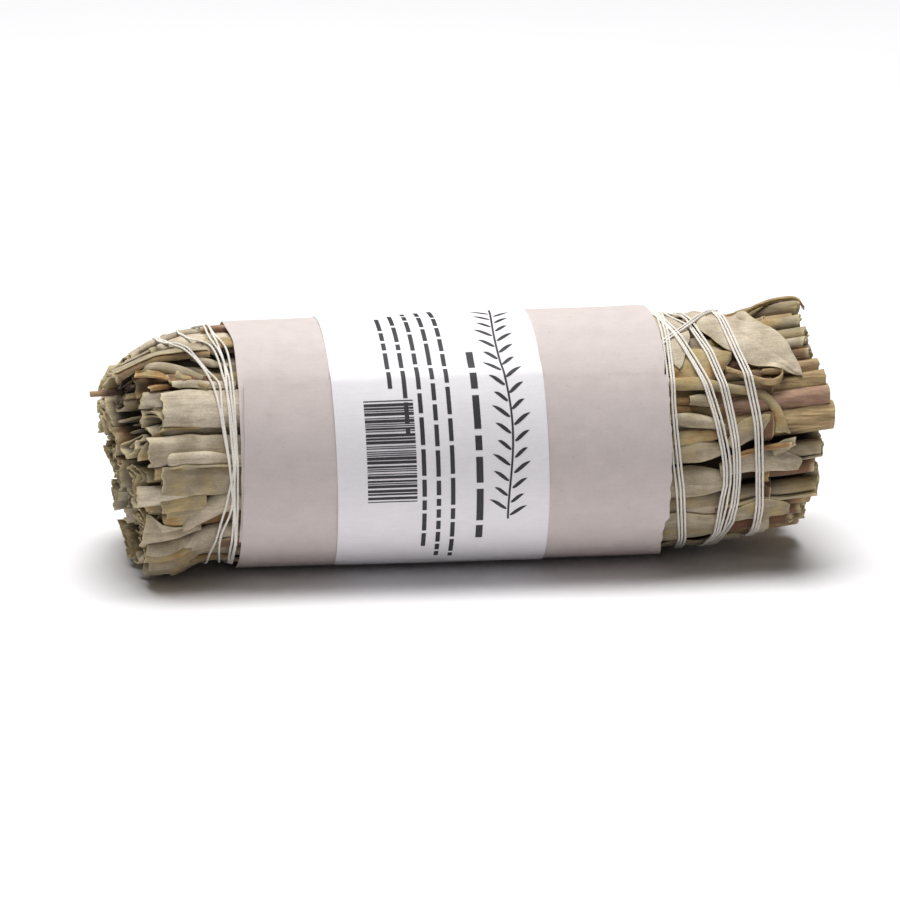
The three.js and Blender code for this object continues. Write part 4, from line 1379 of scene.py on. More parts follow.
@dataclass
class LeafyStems:
    """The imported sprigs: their folded leaves at the left, and their stems and rolled leaves at the right."""

    left: Relief
    right: Relief
    core_drop: float = 2.6
    rod_start: float = 58.0
    notch: float = 6.0
    gaps: tuple = ((-17, 7), (-52, 4), (2, 4))
    tones: tuple = (0.05, 0.15, 0.25, 0.35, 0.45, 0.55, 0.6, 0.65, 0.75, 0.9)

    def core(self, draft: Draft, cell: Cell) -> None:
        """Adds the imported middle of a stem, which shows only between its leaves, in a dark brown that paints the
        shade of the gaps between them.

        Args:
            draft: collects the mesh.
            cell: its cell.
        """
        outer = [(share, 1.0) for share in np.linspace(-0.97, 0.97, 9)]
        inner = [(share, 0.04) for share in np.linspace(0.97, -0.97, 5)]
        line = np.array(outer + inner)
        rings = []
        for x in (-74.0, -60.0, -50.0, -44.0, 0.0, 44.0, 56.0, 66.0, 69.0):
            place = np.full(len(line), x)
            angle, radius = cell.place(line, place)
            if cell.ring is Ring.OUTER:
                radius = radius - self.core_drop * (line[:, 1] > 0.5)
            if x < -70:
                place = dome_end(radius / profile_radius(np.array(LEFT_RIM_END)), angle) + LEFT_CREASE_DEPTH
            rings.append(around(place, angle, radius))
        # Tone 0.85: dark brown, painted shade for the gaps between the leaves.
        draft.tube(np.array(rings), 0.85, 0.0)

    def left_end(self, draft: Draft, cell: Cell, rng: random.Random) -> None:
        """Adds the folded leaves that are cut off at the left.

        Args:
            draft: collects the mesh.
            cell: the stem's cell.
            rng: the random draws.
        """
        rim = float(profile_radius(LEFT_RIM_END))
        packing = rng.choice(list(Packing))
        whole = rng.uniform(-1.0, 1.1)
        mood = rng.choice(self.tones)
        for k, line in enumerate(packed_lines(rng, packing, cell.ring is Ring.INNER)):
            offset = whole + rng.uniform(-1.1, 1.9)

            def tips(radius: Array, angle: Array, offset: float = offset) -> Array:
                """Where the cut is, further back round the scroll in front."""
                notch = self.notch * fade(angle, 30, 15) * smoothstep((radius / rim - 0.7) / 0.12)
                return dome_end(radius / rim, angle) + offset + notch
            tone = 0.45 * mood + 0.55 * rng.choice(self.tones)
            root = -59.5 if cell.ring is Ring.OUTER else -64.0
            ribbon(draft, self.left, cell, line, tips, root, tone, cell.index * 40 + k + 1)

    def right_end(self, draft: Draft, cell: Cell, rng: random.Random) -> None:
        """Adds the stems and leaves that are cut off at the right.

        Args:
            draft: collects the mesh.
            cell: the stem's cell.
            rng: the random draws.
        """
        end = right_end(cell.middle())
        inside = float(profile_radius(ROD_PLACE))
        pushed = []
        for k, rod in enumerate(self.rods(cell, end, rng)):
            radius = inside - rod.depth
            pushed.append((rod.angle, radius, rod.size))
            seed = cell.index * 10 + k
            if rod.kind is STEM:
                bend = rod.angle + rng.uniform(-1.5, 1.5)
                spine = [(rod.start, bend, radius - 1.2), ((rod.start + rod.reach) / 2, rod.angle, radius),
                         (rod.reach, rod.angle, radius)]
                Stem(spine, rod.size, tone=rod.tone, seed=seed).draw(draft, self.right)
            else:
                Scroll([(rod.start, rod.angle), (rod.reach, rod.angle)], rod.size, rod.depth, tone=rod.tone,
                       turns=rng.uniform(1.4, 2.0), start=360 * rng.random(), seed=seed).draw(draft, self.right)
        front = cell.ring is Ring.OUTER and cell.index in FRONT_RODS
        lines = wavy_lines(rng, 3, 0.06, 0.42) + nested_lines(rng, 2)
        for k, line in enumerate(lines):
            reach = end - rng.uniform(1.5, 6.0) - (9.0 if front and k > 2 else 1.5 * (k > 2))
            tone = rng.choice(self.tones)
            ribbon(draft, self.right, cell, line, lambda radius, angle, reach=reach: reach + 0 * radius, 67.5,
                   tone, cell.index * 40 + 20 + k, pushed)

    def rods(self, cell: Cell, end: float, rng: random.Random) -> Sequence[FrontRod]:
        """The stems and rolled leaves that stand out of a cell's right end.

        Args:
            cell: the cell.
            end: how far they reach at most.
            rng: the random draws.

        Returns:
            The rods.
        """
        if cell.ring is Ring.OUTER and cell.index in FRONT_RODS:
            return FRONT_RODS[cell.index]
        kinds = {Ring.OUTER: OUTER_RODS[cell.index % 3], Ring.MIDDLE: MIDDLE_RODS[cell.index % 2],
                 Ring.INNER: INNER_RODS}[cell.ring]
        start = self.rod_start if cell.ring is Ring.OUTER else 66.0
        made = []
        for share, depth, size, kind in kinds:
            angle, radius = (float(v[0]) for v in cell.place(np.array([[share, depth]]), np.array([ROD_PLACE]), 0.0))
            tone = rng.choice((0.1, 0.3, 0.5, 0.9)) if kind is STEM else rng.choice(self.tones)
            made.append(FrontRod(angle, float(profile_radius(ROD_PLACE)) - radius, size, kind, end - 3 * rng.random(),
                                 tone, start))
        return made

    def sides(self, draft: Draft, cell: Cell, rng: random.Random) -> None:
        """Adds the leaves under the outer ones, at both sides of the band.

        Args:
            draft: collects the mesh.
            cell: the stem's cell.
            rng: the random draws.
        """
        width = cell.stop - cell.start
        for k in range(3):
            for root, tip, relief in ((-44.0, -66.0, self.left), (44.0, 68.0, self.right)):
                angle = cell.start + width * (k + 0.5) / 3 + rng.uniform(-2, 2)
                if root > 0 and any(fade(angle, middle, half) > 0 for middle, half in self.gaps):
                    continue
                end = tip + rng.uniform(-2.5, 2.5)
                Loose([(root, angle), ((root + end) / 2, angle + rng.uniform(-3, 3)), (end, angle)],
                     [2.2, rng.uniform(2.2, 3.0), rng.uniform(1.6, 2.6)], tone=rng.choice(self.tones),
                     lift=rng.uniform(-2.9, -1.7), crown=rng.uniform(1.2, 2.6), wrap=rng.uniform(70, 130),
                     box=0.8, wrinkle=0.4, slant=rng.uniform(-1, 1), spacing=0.75,
                     seed=cell.index * 10 + k).draw(draft, relief)

    def drafts(self) -> list[tuple[str, str, Draft]]:
        """Shapes every stem.

        Returns:
            The CAD node, the material slot and the draft of each.
        """
        made = []
        for shift, ring in enumerate(Ring):
            for cell in ring_cells(ring):
                rng = random.Random(SEED + 100 * shift + cell.index)
                draft = Draft()
                self.core(draft, cell)
                if ring is Ring.OUTER:
                    self.sides(draft, cell, rng)
                self.left_end(draft, cell, rng)
                self.right_end(draft, cell, rng)
                slot = LEAF_SLOTS[(cell.index + shift) % 4]
                made.append((f"leafy_stem_{ring.value}_{cell.index + 1:02d}", slot, draft))
        return made


# Outer leaves

def left_leaves() -> list[list]:
    """The leaves beside the band at the left, a list for each CAD node.

    Returns:
        Lists of leaves, scrolls and stems, given one by one at the front.
    """
    return [
        [Loose([(-44, 35), (-56, 35), (-63.2, 34.5)], [4.6, 4.5, 3.7], 0.05, 0.25, 3.6, 120, 0.75, seed=11,
               wrinkle=0.15),
         Scroll([(-55, 30), (-65.4, 30)], 2.6, 2.5, 0.5, 1.9, 200, seed=12, slant=2.4),
         Leaf([(-47, 46.5), (-56, 47), (-61, 47)], [0.8, 1.1, 0.8], 0.1, 0.3, 0.5, 60, seed=13, wave=0.9),
         Loose([(-52, 49), (-58, 51), (-61.5, 50.5)], [1.0, 1.5, 1.2], 0.82, -0.2, 1.6, 100, seed=14, wave=0.9,
               wrinkle=0.6),
         Loose([(-53, 45), (-57, 49), (-60, 52.5)], [0.8, 1.1, 1.0], 0.5, 0.3, 1.2, 110, seed=15, wave=0.9,
               wrinkle=0.5)],
        [Loose([(-44, 14), (-56, 14), (-66.4, 14)], [3.2, 3.3, 3.4], 0.3, -0.1, 3.0, 115, 0.75, seed=21),
         Loose([(-46, 9), (-55, 9.5), (-62.6, 10)], [1.2, 1.5, 1.4], 0.15, 0.75, 2.2, 150, 0.9, End.ROUND,
               seed=22)],
        [Leaf([(-44, -1), (-56, -1), (-63.8, -1.3)], [3.7, 3.8, 3.7], 0.38, 0.2, 0.6, 55, seed=31, rib=-0.1),
         Loose([(-50, 2), (-58, 3), (-65.2, 3.5)], [1.0, 1.3, 1.3], 0.6, -0.7, 1.6, 120, seed=32),
         Scroll([(-58, -8), (-69.5, -9)], 2.5, 2.6, 0.02, 0.62, 120, 0.9, seed=33)],
        [Loose([(-54, -12), (-60, -12.5), (-63.8, -13)], [2.0, 2.2, 2.0], 0.5, 0.1, 1.8, 110, seed=41),
         Loose([(-54, -17), (-60, -17.5), (-63.0, -18)], [1.8, 2.1, 2.0], 0.47, -0.2, 1.8, 110, seed=42),
         Loose([(-54, -22), (-60, -22), (-63.6, -22.5)], [1.6, 2.0, 1.9], 0.52, -0.2, 1.6, 110, seed=43)],
        [Leaf([(-55, -29), (-62, -28.5), (-67.6, -27)], [0.6, 2.6, 4.3], 0.22, -0.6, 0.8, 60, seed=51),
         Loose([(-57, -36), (-63, -37), (-67, -37)], [0.8, 1.2, 1.0], 0.3, -0.2, 2.0, 120, 0.7, seed=57,
               wrinkle=0.5),
         Loose([(-45, -12), (-51, -15), (-59, -27)], [2.4, 2.9, 1.3], 0.25, 0.3, 1.5, 85, 1.0, End.POINTED,
               seed=52),
         Loose([(-45, -34), (-52, -38), (-58.8, -44)], [3.0, 3.4, 3.3], 0.14, 0.1, 3.0, 130, 0.8, End.ROUND,
               seed=53),
         Leaf([(-44, -41), (-48, -41), (-51.5, -41)], [3.3, 3.3, 2.4], 0.9, -0.6, 0.8, 60, seed=54),
         Loose([(-57, -42.5), (-63, -43), (-67, -42)], [1.2, 1.5, 1.4], 0.5, 0.0, 2.0, 120, 0.7, seed=55,
               wrinkle=0.45),
         Loose([(-56, -47), (-62, -47.5), (-66.4, -48)], [1.0, 1.4, 1.3], 0.34, 0.1, 1.8, 120, 0.7, seed=56,
               wrinkle=0.5)],
        [Loose([(-44, -74), (-56, -76), (-65.5, -76)], [4.6, 5.2, 4.6], 0.3, -0.4, 2.2, 95, 0.9, seed=61),
         Loose([(-46, -62), (-54, -59), (-61.5, -57)], [1.5, 1.6, 1.0], 0.56, 0.5, 1.2, 100, 0.9, End.ROUND,
               seed=62),
         Loose([(-50, -66), (-58, -65), (-66.4, -63)], [1.6, 2.4, 2.4], 0.36, 0.0, 1.8, 110, 0.8, seed=64),
         Loose([(-46, -52), (-52, -51), (-58, -49)], [1.4, 1.8, 1.2], 0.25, -0.2, 1.6, 100, 0.9, End.ROUND,
               seed=65),
         Loose([(-57, -53), (-63, -53), (-67, -53.5)], [1.2, 1.4, 1.5], 0.42, 0.0, 2.0, 120, 0.7, seed=63,
               wrinkle=0.5),
         Loose([(-55, -57), (-61, -58), (-66.4, -58)], [1.1, 1.5, 1.4], 0.56, 0.1, 1.8, 120, 0.7, seed=66,
               wrinkle=0.45)],
        *[back_leaves(angle, half, cut, seed) for angle, half, cut, seed in (
            (-108, 7.6, -67, 70), (-146, 7.6, -65.5, 80), (176, 7.4, -67, 90), (143, 7.2, -66, 100),
            (111, 6.6, -68, 110))],
        [Leaf([(-44, 82), (-54, 82), (-63, 76)], [5.2, 5.0, 1.8], 0.08, 0.0, 1.2, 70, 1.0, End.POINTED, seed=121),
         Stem([(-44, 96, 25.2), (-48, 92, 26.0), (-53, 88, 26.0)], 0.8, 1.0, seed=122),
         Loose([(-44, 76), (-49, 76), (-53, 73)], [2.0, 2.2, 1.8], 0.55, 0.5, 1.2, 100, seed=123)],
        [Leaf([(-52, 66), (-58, 65.5), (-66, 62), (-72.8, 53)], [0.8, 1.1, 1.2, 1.0], 0.8, 0.7, 0.8, 80, seed=131,
              thickness=0.5, wrinkle=0.4),
         Leaf([(-50, 71), (-58, 69), (-66, 66), (-73.2, 58)], [1.4, 2.0, 2.0, 1.6], 0.36, 0.1, 1.2, 75, seed=133),
         Loose([(-54, 50), (-59, 55), (-62.5, 57.5), (-66.6, 58.4)], [0.9, 1.2, 1.3, 1.2], 0.3, 0.3, 1.9, 120, 0.9,
               End.ROUND, seed=132, thickness=0.5),
         Loose([(-61.5, 50.5), (-65, 53), (-68.9, 54)], [0.4, 0.8, 0.6], 0.66, 0.3, 1.3, 110, seed=134, wave=1.2,
               wrinkle=0.9),
         Loose([(-60, 49), (-63, 48), (-65.6, 47)], [0.5, 0.9, 0.7], 0.8, -0.9, 1.6, 110, seed=137, wave=1.0,
               wrinkle=0.9),
         Leaf([(-48, 60), (-52, 62), (-56, 66)], [0.7, 1.2, 0.8], 0.25, -0.6, 1.2, 90, seed=135, wave=0.8,
              wrinkle=0.5),
         Stem([(-69, 54, 20.4), (-73, 53.5, 20.6), (-77.9, 53, 20.6)], 0.65, 1.0, seed=136)],
    ]


def back_leaves(angle: float, half: float, cut: float, seed: int) -> list:
    """Leaves beside the band at the left where the front doesn't show.

    Args:
        angle: middle angle.
        half: half the width that they cover.
        cut: where they are cut off.
        seed: of their random draws.

    Returns:
        Leaves and scrolls.
    """
    rng = random.Random(SEED + seed)
    wide = math.degrees(half / BAND_RADIUS_LEFT)
    made = [Loose([(-44, angle), (-55, angle + rng.uniform(-2, 2)), (cut, angle)], [half * 0.7] * 3,
                 rng.uniform(0.05, 0.4), -0.4, rng.uniform(0.8, 2.4), rng.uniform(60, 120), 0.8, seed=seed)]
    for k, side in enumerate((-0.75, 0.75)):
        turned = angle + side * wide
        spine = [(-44, turned), (-54, angle + side * wide * 0.9), (cut + 2, turned)]
        made.append(Loose(spine, [2.0, half * 0.36, 1.8], rng.uniform(0.1, 0.7), rng.uniform(-0.4, 0.4),
                          rng.uniform(1.2, 2.4), rng.uniform(80, 140), 0.8, rng.choice(list(End)),
                          seed=seed + k + 1))
    made.append(Scroll([(-56, angle + 3), (cut - 1, angle + 2)], 1.8, 2.4, rng.uniform(0.2, 0.7), 1.6,
                       360 * rng.random(), seed=seed + 4))
    return made


def right_leaves() -> list[list]:
    """The leaves beside the band at the right, a list for each CAD node, the lowest layer first.

    Returns:
        Lists of leaves, scrolls and stems.
    """
    return [
        [Leaf([(44, 158), (56, 160), (70, 152)], [5.5, 8, 1], 0.12, seed=201, end=End.POINTED, rib=-0.25)],
        [Leaf([(44, 201), (55, 199), (66, 206)], [6, 8.5, 1.2], 0.25, seed=202, end=End.POINTED, rib=0.3)],
        [Leaf([(44, -116), (56, -118), (71, -112)], [5, 8, 1], 0.2, seed=203, end=End.POINTED, rib=-0.25)],
        [Leaf([(44, -80), (54, -80), (66, -74)], [6, 7, 1], 0.3, seed=204, end=End.POINTED, rib=0.3)],
        [Leaf([(44, -44), (52, -45), (59.5, -44)], [5.5, 6, 3.4], 0.34, -0.5, 1.2, seed=205, rib=-0.2, wave=0.6,
              wrinkle=0.4)],
        [Leaf([(62, -39), (68, -34), (74.5, -39)], [1.5, 4.6, 1.8], 0.42, -0.4, seed=206, end=End.POINTED, wave=0.7,
              wrinkle=0.4)],
        [Leaf([(44, -12), (52, -11), (60.5, -12)], [3.2, 4, 2.2], 0.33, -0.2, 1.2, seed=207, end=End.POINTED,
              rib=0.3, wave=0.6, wrinkle=0.4)],
        [Leaf([(58, -5), (64, -3), (70, -4), (75.5, -8)], [1.4, 3.0, 3.0, 1.6], 0.24, 0.1, 1.6, 75, seed=208,
              rib=-0.3, wave=0.7, wrinkle=0.35),
         Leaf([(69.5, 1), (72, 3.5), (74.6, 5)], [0.9, 1.5, 0.9], 0.34, 0.3, 0.5, seed=218, wave=0.8),
         Loose([(60, 1.5), (67, 3.6), (73.5, 4.2)], [0.4, 0.6, 0.4], 0.7, 0.2, 0.8, 90, seed=219, wave=1.0,
               wrinkle=0.6)],
        [Leaf([(44, 4), (52, 5), (59, 6)], [2, 2.7, 1.4], 0.36, -0.1, 1.0, seed=209, end=End.POINTED, wave=0.6),
         Loose([(46, 11), (51, 12.5), (58, 13)], [1.2, 2.0, 1.0], 0.52, -0.2, 1.4, 80, seed=220, wave=0.6,
               wrinkle=0.5, end=End.ROUND)],
        [Leaf([(46, 22), (52, 21), (59, 17.5)], [0.8, 1.7, 0.8], 0.3, 0.1, 1.2, seed=210, end=End.POINTED,
              wave=0.5),
         Loose([(51.5, 31), (54, 31), (57, 29.5)], [0.9, 1.3, 1.1], 0.4, 0.2, 2.0, 140, 0.9, End.ROUND, seed=221)],
        [Leaf([(60, 7), (64.5, 15), (69, 20)], [1.2, 2.6, 0.5], 0.38, 0.1, 0.8, seed=211, end=End.POINTED,
              wave=0.6)],
        [Leaf([(47, 47), (54, 50), (62, 57)], [1.2, 5.2, 1], 0.55, -0.4, 0.8, seed=212, end=End.POINTED)],
        [Loose([(44, 39), (52.5, 39), (60, 36), (66.5, 32.5), (69.8, 25), (71, 18), (71.6, 10.5)],
               [1.0, 1.4, 0.9, 0.8, 0.8, 0.9, 1.5], 0.5, 0.5, 1.2, 110, seed=213, slant=0.8),
         Stem([(60, 46, 25.6), (65, 39.4, 26.6), (69, 35.6, 26.6), (71.6, 37, 26.4), (72, 41.5, 25.4),
               (68, 43, 24.8)],
              0.75, 0.35, seed=217)],
        [Leaf([(44, 118), (56, 122), (69, 114)], [5, 8.6, 1], 0.15, seed=214, end=End.POINTED, rib=0.3),
         Loose([(66, 100), (71, 99), (76, 98), (80.2, 97)], [1.0, 2.0, 2.2, 1.6], 0.44, 0.3, 1.6, 100, seed=222,
               wave=0.6),
         Stem([(66, 88, 25.4), (71, 94, 26.2), (75.5, 98, 26.4), (79.2, 97, 26.0), (80.4, 90, 24.6)], 0.55, 0.3,
              seed=223)],
        [Leaf([(56, 96), (62, 80), (69, 58), (76.5, 38)], [3.4, 6.2, 5.2, 0.6], 0.12, 0.2, 0.9, seed=215,
              end=End.POINTED, rib=-0.15, wrinkle=0.15)],
        [Leaf([(46, 92), (49, 72), (49.8, 47)], [4, 4.4, 0.6], 0.08, 0.1, 0.6, seed=216, end=End.POINTED)],
    ]


@dataclass
class OuterLeaves:
    """The broad leaves on the outside, at both sides of the band."""

    left: Relief
    right: Relief

    def drafts(self) -> list[tuple[str, str, Draft]]:
        """Shapes the leaves.

        Returns:
            The CAD node, the material slot and the draft of each group.
        """
        made = []
        for side, relief, groups in (("left", self.left, left_leaves()), ("right", self.right, right_leaves())):
            for i, group in enumerate(groups):
                draft = Draft()
                for shape in group:
                    shape.draw(draft, relief)
                slot = LEAF_SLOTS[i % 3] if side == "left" else LEAF_SLOTS[(2 * i + 1) % 4]
                made.append((f"outer_leaf_{side}_{i + 1:02d}", slot, draft))
        return made


# Geometry Nodes

class Tree:
    """Writes a Geometry Nodes tree with named inputs."""

    def __init__(self, name: str, inputs: dict[str, object]) -> None:
        """Starts a tree that takes and gives geometry.

        Args:
            name: its name.
            inputs: its input names with their first values, or a socket type.
        """
        self.tree = bpy.data.node_groups.new(name, "GeometryNodeTree")
        self.tree.interface.new_socket("Geometry", in_out="INPUT", socket_type="NodeSocketGeometry")
        self.tree.interface.new_socket("Geometry", in_out="OUTPUT", socket_type="NodeSocketGeometry")
        for key, value in inputs.items():
            if isinstance(value, str):
                self.tree.interface.new_socket(key, in_out="INPUT", socket_type=value)
                continue
            kind = "NodeSocketInt" if isinstance(value, int) else "NodeSocketFloat"
            self.tree.interface.new_socket(key, in_out="INPUT", socket_type=kind).default_value = value
        self.shader = Shader(self.tree)
        self.entry = self.node("NodeGroupInput")

    def node(self, kind: str, inputs: Optional[dict] = None, **settings: object) -> Node:
        """Adds a node, as Shader.node does."""
        return self.shader.node(kind, inputs, **settings)

    def maths(self, operation: str, *values: object) -> Socket:
        """The result of a sum on numbers."""
        return self.shader.maths(operation, *values)

    def vector(self, operation: str, *values: object, scale: object = None) -> Socket:
        """The result of a sum on vectors, or of one vector and a scale."""
        inputs = dict(enumerate(values))
        if scale is not None:
            inputs["Scale"] = scale
        return self.node("ShaderNodeVectorMath", inputs, operation=operation).outputs[0]

    def join(self, pieces: Iterable[Socket]) -> Socket:
        """Geometry joined into one."""
        made = self.node("GeometryNodeJoinGeometry")
        for piece in pieces:
            self.tree.links.new(piece, made.inputs[0])
        return made.outputs[0]

    def end(self, geometry: Socket) -> None:
        """Realizes instances, sets the material and ends the tree."""
        real = self.node("GeometryNodeRealizeInstances", {0: geometry}).outputs[0]
        dressed = self.node("GeometryNodeSetMaterial", {0: real, "Material": self.entry.outputs["Material"]})
        self.node("NodeGroupOutput", {0: dressed.outputs[0]})


def grown(source: Object, tree: NodeTree, values: dict[str, object], name: str
          ) -> Object:
    """Turns an object into a plain mesh by a Geometry Nodes tree.

    Args:
        source: the object, which is used up.
        tree: the tree.
        values: the tree's inputs by name.
        name: name of the new piece.

    Returns:
        The new piece.
    """
    modifier = source.modifiers.new("shape", "NODES")
    modifier.node_group = tree
    for item in tree.interface.items_tree:
        if item.item_type == "SOCKET" and item.in_out == "INPUT" and item.name in values:
            modifier[item.identifier] = values[item.name]
    shaped = source.evaluated_get(bpy.context.evaluated_depsgraph_get())
    mesh = bpy.data.meshes.new_from_object(shaped)
    source.modifiers.remove(modifier)
    data = source.data
    bpy.data.objects.remove(source)
    (bpy.data.curves if isinstance(data, bpy.types.Curve) else bpy.data.meshes).remove(data)
    mesh.name = name
    mesh.shade_smooth()
    return placed(name, mesh)


# Thread

def taut(radius: Array, step: float) -> Array:
    """Radii of a tight thread that bridges hollows.

    Args:
        radius: radii of what it lies on, at equal angles.
        step: angle between them.

    Returns:
        The thread's radii.
    """
    count = len(radius)
    place = np.arange(count)
    for reach in (40, 28, 20, 14, 10, 7, 5, 3, 2, 1) * 4:
        before = radius[np.maximum(place - reach, 0)]
        after = radius[np.minimum(place + reach, count - 1)]
        chord = 2 * before * after * math.cos(math.radians(reach * step)) / (before + after)
        radius = np.maximum(radius, chord)
    return radius


@dataclass
class BindingThread:
    """Twisted cotton thread wound round the bundle beside the band."""

    left: Relief
    right: Relief
    radius: float = 0.29
    plies: int = 3
    lay_length: float = 2.1
    step: float = 1.2
    left_strands: tuple = (
        ((110, -62.8), (79, -62.0), (72, -58.9), (63, -55.8), (54, -53.1), (46, -50.6), (31, -50.3), (11, -49.3),
         (-8, -48.5), (-32, -47.6), (-72, -48.0), (-100, -50.5), (-180, -52.0)),
        ((110, -61.0), (77, -61.0), (59, -55.1), (50, -52.8), (40, -51.4), (21, -50.1), (2, -48.9), (-19, -47.8),
         (-46, -47.6), (-72, -48.5), (-110, -49.6), (-180, -51.0)),
        ((110, -57.5), (79, -56.5), (68, -51.4), (50, -49.6), (32, -48.6), (10, -48.0), (-10, -49.5), (-25, -50.8),
         (-50, -52.8), (-72, -53.3), (-110, -53.0), (-180, -52.4)),
        ((110, -54.2), (94, -52.7), (74, -51.5), (65, -49.8), (51, -48.5), (38, -48.2), (16, -47.8), (-15, -48.6),
         (-32, -50.6), (-45, -50.8), (-72, -49.9), (-110, -49.0), (-180, -49.5)),
        ((110, -52.8), (94, -51.9), (78, -50.3), (68, -48.3), (50, -47.7), (20, -47.5), (-19, -47.3), (-48, -47.4),
         (-72, -47.6), (-110, -48.2), (-180, -48.6)),
        ((110, -51.6), (80, -50.9), (60, -49.2), (40, -49.0), (20, -48.6), (-10, -48.0), (-50, -48.4),
         (-90, -47.8), (-180, -47.9)),
    )

    def tree(self) -> NodeTree:
        """Makes the tree that twists plies round a path.

        Returns:
            The tree, whose inputs are Ply Radius, Ply Offset, Lay Length, Sides and Material.
        """
        tree = Tree("twisted thread", {"Ply Radius": 0.00015, "Ply Offset": 0.00015, "Lay Length": 0.002,
                                       "Sides": 6, "Material": "NodeSocketMaterial"})
        entry = tree.entry.outputs
        length = tree.node("GeometryNodeSplineParameter").outputs["Length"]
        turns = tree.maths("DIVIDE", length, entry["Lay Length"])
        normal = tree.node("GeometryNodeInputNormal").outputs[0]
        tangent = tree.node("GeometryNodeInputTangent").outputs[0]
        side = tree.vector("CROSS_PRODUCT", tangent, normal)
        profile = tree.node("GeometryNodeCurvePrimitiveCircle",
                            {"Resolution": entry["Sides"], "Radius": entry["Ply Radius"]}).outputs[0]
        plies = []
        for ply in range(self.plies):
            turn = tree.maths("MULTIPLY", tree.maths("ADD", turns, ply / self.plies), math.tau)
            across = tree.vector("SCALE", normal, scale=tree.maths("COSINE", turn))
            over = tree.vector("SCALE", side, scale=tree.maths("SINE", turn))
            offset = tree.vector("SCALE", tree.vector("ADD", across, over), scale=entry["Ply Offset"])
            moved = tree.node("GeometryNodeSetPosition", {"Geometry": entry["Geometry"], "Offset": offset})
            plies.append(tree.node("GeometryNodeCurveToMesh",
                                   {"Curve": moved.outputs[0], "Profile Curve": profile,
                                    "Fill Caps": True}).outputs[0])
        tree.end(tree.join(plies))
        return tree.tree

    def laid(self, rows: Sequence[tuple[float, float]], relief: Relief) -> Array:
        """Lays a thread tight on the surface.

        Args:
            rows: (angle, x) along the thread.
            relief: the surface.

        Returns:
            Points along the thread.
        """
        rows = np.array(rows, float)
        turned = np.abs(np.diff(rows[:, 0])).sum()
        count = int(turned / self.step)
        even = through(rows, np.linspace(0, 1, 40 * len(rows)))
        run = travelled(even[:, :1])
        at = np.linspace(0, run[-1], count)
        angle, x = np.interp(at, run, even[:, 0]), np.interp(at, run, even[:, 1])
        radius = np.maximum.reduce([relief.at(x + dx, angle) for dx in (-0.3, 0, 0.3)])
        radius = taut(radius, self.step) + self.radius * 0.8
        return around(x, angle, radius)

    def piece(self, name: str, paths: list[Array], node: str, cotton: Material) -> None:
        """Makes the twisted thread along paths.

        Args:
            name: its name.
            paths: points along each stretch.
            node: the CAD node that it stands for.
            cotton: its material.
        """
        curve = bpy.data.curves.new(name, "CURVE")
        curve.dimensions = "3D"
        for path in paths:
            spline = curve.splines.new("POLY")
            spline.points.add(len(path) - 1)
            spline.points.foreach_set("co", np.concatenate([path * MM, np.ones((len(path), 1))], 1).ravel())
        source = placed(name, curve)
        values = {"Ply Radius": self.radius * 0.52 * MM, "Ply Offset": self.radius * 0.5 * MM,
                  "Lay Length": self.lay_length * MM, "Sides": 6, "Material": cotton}
        dress(grown(source, self.tree(), values, name), "cotton", node)

    def build(self, cotton: Material) -> None:
        """Builds both threads.

        Args:
            cotton: their material.
        """
        rows = []
        for k, strand in enumerate(self.left_strands):
            rows += [(angle - 360 * k, x) for angle, x in strand]
        paths = [self.laid(rows, self.left)]
        self.piece("wound_thread_left", paths, "binding_thread_left", cotton)
        groups = (
            (3.3, ((90, 48.2), (16, 47.3), (-20, 49.6), (-62, 51.9), (-130, 52.6), (-200, 50.5), (-270, 48.2)), 0.72),
            (3.2, ((93, 46.2), (60, 51.8), (26, 57.0), (-3, 59.4), (-50, 58.9), (-110, 56.2), (-180, 51.0),
                   (-267, 46.2)), 0.66),
            (3.2, ((106, 51.4), (60, 56.6), (26, 60.0), (-3, 61.9), (-46, 61.3), (-110, 58.4), (-180, 55.0),
                   (-254, 51.4)), 0.66),
            (3.2, ((101, 61.2), (70, 61.9), (41, 64.3), (18, 66.1), (-8, 66.8), (-56, 68.0), (-120, 66.0),
                   (-190, 62.6), (-259, 61.2)), 0.7),
        )
        paths = []
        for k, (turns, ring, pitch) in enumerate(groups):
            angles, places = np.array(ring, float).T
            start = 245 - 9 * k
            angle = np.arange(start, start - 360 * turns, -20)
            offset = pitch * ((start - angle) / 360 - turns / 2) + 0.14 * noise(angle / 60, seed=k)
            x = np.interp((angle - angles[-1]) % 360 + angles[-1], angles[::-1], places[::-1]) + offset
            paths.append(self.laid(list(zip(angle, x)), self.right))
        for shift in (0.0, 0.9):
            rows = [(60, 45.4 + shift), (72, 51.0 + shift), (86, 56.4 + shift), (101, 61.0 + shift)]
            paths.append(self.laid(rows, self.right))
        self.piece("wound_thread_right", paths, "binding_thread_right", cotton)


# Band and label

def band_radius(x: Array) -> Array:
    """Radius of the band at x."""
    return BAND_RADIUS_LEFT + (x + BAND_HALF_LENGTH) / (2 * BAND_HALF_LENGTH) * (BAND_RADIUS_RIGHT - BAND_RADIUS_LEFT)


def on_band(x: Array, angle: Array, rise: Array) -> Array:
    """Points a rise outside the band's own radius, pressed flat underneath."""
    points = around(x, angle, band_radius(x) + rise, band_radius(x) - BAND_FLAT_DEPTH)
    low = points[..., 2] < 1.1
    points[..., 2] = np.where(low, np.clip(points[..., 2], 0, 1.1) ** 2 / 1.1 + 0.12, points[..., 2] + 0.12 * low)
    return points


